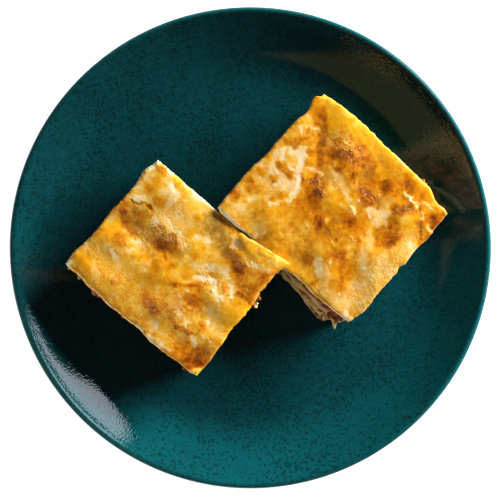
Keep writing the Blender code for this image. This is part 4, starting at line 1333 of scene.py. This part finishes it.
def cooked_pasta():
    """Egg pasta sheet, boiled and baked: pale, moist and a little see-through at its edge."""
    material, tree, shader = new_material(
        "cooked_pasta",
        {
            "IOR": 1.45,
            "Roughness": 0.38,
            "Subsurface Weight": 0.2,
            "Subsurface Radius": (1.0, 0.6, 0.3),
            "Subsurface Scale": 1.5 * MM,
            "Coat Weight": 0.2,
            "Coat Roughness": 0.2,
        },
    )
    at = {"Vector": node(tree, "TexCoord")}
    # Stains of 6 mm and grain of 1.1 mm
    stain = node(tree, "TexNoise", {**at, "Scale": 170, "Detail": 4, "Roughness": 0.65})
    grain = node(tree, "TexNoise", {**at, "Scale": 900, "Detail": 3})
    tone = ((0.3, "a87a3c"), (0.42, "c8a866"), (0.55, "dcc892"), (0.75, "e8dab0"))
    settings = {
        "Base Color": node(tree, "ValToRGB", {"Fac": stain, "stops": tone}),
        "Normal": node(tree, "Bump", {"Strength": 0.3, "Distance": 0.3 * MM, "Height": grain}),
    }
    fill(tree, shader, settings)
    return material


def meat_sauce():
    """Minced meat simmered in tomato: rust-brown crumbs in a paler, orange and oily sauce."""
    material, tree, shader = new_material(
        "meat_sauce",
        {
            "IOR": 1.45,
            "Roughness": 0.42,
            "Subsurface Weight": 0.06,
            "Subsurface Radius": (1.0, 0.3, 0.15),
            "Subsurface Scale": 1 * MM,
            "Coat Weight": 0.3,
            "Coat Roughness": 0.2,
        },
    )
    at = {"Vector": node(tree, "TexCoord")}
    # Crumbs of 2.4 mm, with a blend of 3 mm
    lumps = node(tree, "TexVoronoi", {**at, "Scale": 420})
    blend = node(tree, "TexNoise", {**at, "Scale": 320, "Detail": 4, "Roughness": 0.65})
    mixed = node(tree, "Math", {"operation": "MULTIPLY_ADD", 0: lumps, 1: 0.35, 2: blend})
    tone = (
        (0.42, "3c1608"),
        (0.56, "6a2c10"),
        (0.68, "8e4c20"),
        (0.8, "b4743c"),
        (0.92, "d2a468"),
    )
    settings = {
        "Base Color": node(tree, "ValToRGB", {"Fac": mixed, "stops": tone}),
        "Normal": node(tree, "Bump", {"Strength": 0.6, "Distance": 0.6 * MM, "Height": blend}),
    }
    fill(tree, shader, settings)
    return material


# Stage

CAMERA_HEIGHT = 1.1
FOCAL_PIXELS = 1923.2
LONG_SIDE_PIXELS = 500
SENSOR_WIDTH = 36.0
CAMERA_PLACE = (-0.0011, -0.0013)

# Softbox face: azimuth and elevation of its outline as seen from the plate
PANEL_OUTLINE = (
    (15, 22.3), (56.5, 22.3), (56.5, 31), (53, 41), (48, 46),
    (43, 48), (38, 40), (34, 33), (28, 28), (20, 25.5),
)
PANEL_MIDDLE = (42, 26)
PANEL_DISTANCE = 1.2
PANEL_RADIANCE = 10.0


def place_camera():
    """A long lens straight above the plate, the way the photograph was taken."""
    lens = bpy.data.cameras.new("camera")
    lens.sensor_width = SENSOR_WIDTH
    lens.lens = FOCAL_PIXELS * SENSOR_WIDTH / LONG_SIDE_PIXELS
    lens.clip_start, lens.clip_end = 0.05, 20
    camera = bpy.data.objects.new("camera", lens)
    camera.location = (*CAMERA_PLACE, CAMERA_HEIGHT)
    bpy.context.scene.collection.objects.link(camera)
    bpy.context.scene.camera = camera


def direction(azimuth, elevation):
    turn, rise = math.radians(azimuth), math.radians(elevation)
    return np.array(
        (math.cos(turn) * math.cos(rise), math.sin(turn) * math.cos(rise), math.sin(rise))
    )


def place_light(name, azimuth, elevation, distance, width, height, radiance, colour, hidden=()):
    """A rectangular lamp that faces the plate, of the given brightness at its face."""
    lamp = bpy.data.lights.new(name, "AREA")
    lamp.shape = "RECTANGLE"
    lamp.size, lamp.size_y = width, height
    lamp.energy = radiance * math.pi * width * height
    lamp.color = linear(colour)[:3]
    light = bpy.data.objects.new(name, lamp)
    toward = direction(azimuth, elevation)
    light.location = (toward * distance + (0, 0, 0.02)).tolist()
    light.rotation_euler = Vector(toward.tolist()).to_track_quat("Z", "Y").to_euler()
    for kind in hidden:
        setattr(light, f"visible_{kind}", False)
    bpy.context.scene.collection.objects.link(light)


def hang_panel():
    """The softbox's bright face, which the glaze and the oil mirror.

    It is a fan of triangles between its middle and the directions of its outline, all at one
    distance from the plate.
    """
    material = bpy.data.materials.new("softbox_face")
    material.use_nodes = True
    tree = material.node_tree
    tree.nodes.clear()
    glow = node(tree, "Emission", {"Color": "ecf0ff", "Strength": PANEL_RADIANCE})
    fill(tree, tree.nodes.new("ShaderNodeOutputMaterial"), {"Surface": glow})
    rim = [direction(*place) * PANEL_DISTANCE for place in PANEL_OUTLINE]
    points = np.array([*rim, direction(*PANEL_MIDDLE) * PANEL_DISTANCE])
    here = np.arange(len(rim))
    fan = np.column_stack((np.full(len(rim), len(rim)), here, (here + 1) % len(rim)))
    panel = put_mesh("softbox_face", points, np.empty((0, 4), int), fan, material)
    for kind in ("camera", "diffuse", "transmission", "shadow"):
        setattr(panel, f"visible_{kind}", False)


def light_stage():
    """A low strip softbox from the far right, a warm card opposite, and a dim room."""
    place_light("key", 34, 18, 1.2, 0.86, 0.24, 74.0, "fff8f0", hidden=("glossy",))
    place_light("card", 217, 50, 1.0, 0.8, 0.8, 0.5, "fff09a", hidden=("diffuse",))
    place_light("reflector", 225, 6, 1.2, 0.8, 0.12, 28.0, "fff2e0", hidden=("glossy",))
    hang_panel()
    world = bpy.data.worlds.new("room")
    world.use_nodes = True
    world.node_tree.nodes["Background"].inputs["Color"].default_value = grey(0.06)
    bpy.context.scene.world = world


def lay_floor():
    """A white sheet under the plate, lit evenly."""
    points = np.array(((-3, -3, 0), (3, -3, 0), (3, 3, 0), (-3, 3, 0)), dtype=float)
    points[:, 2] = -0.05 * MM
    material, _, shader = new_material(
        "white_sheet",
        {
            "Base Color": grey(0.8),
            "Roughness": 0.9,
            "Specular IOR Level": 0.1,
            "Emission Color": grey(1.0),
            "Emission Strength": 1.0,
        },
    )
    floor = put_mesh("floor", points, np.array([[0, 1, 2, 3]]), np.empty((0, 3), int), material)


def main():
    view = bpy.context.scene.view_settings
    view.view_transform = "Standard"
    view.look = "None"
    glaze, cheese, pasta, meat = stoneware_glaze(), baked_cheese(), cooked_pasta(), meat_sauce()
    dress(make_plate(glaze), "plate")
    for square in (LEFT, RIGHT):
        for layer in LAYER_NAMES[:-1]:
            sauce = layer.startswith("meat")
            piece = make_filling_layer(square, layer, meat if sauce else pasta)
            dress(piece, f"{square.name}_{layer}")
        dress(make_top(square, cheese), f"{square.name}_top")
    place_camera()
    light_stage()
    lay_floor()


main()
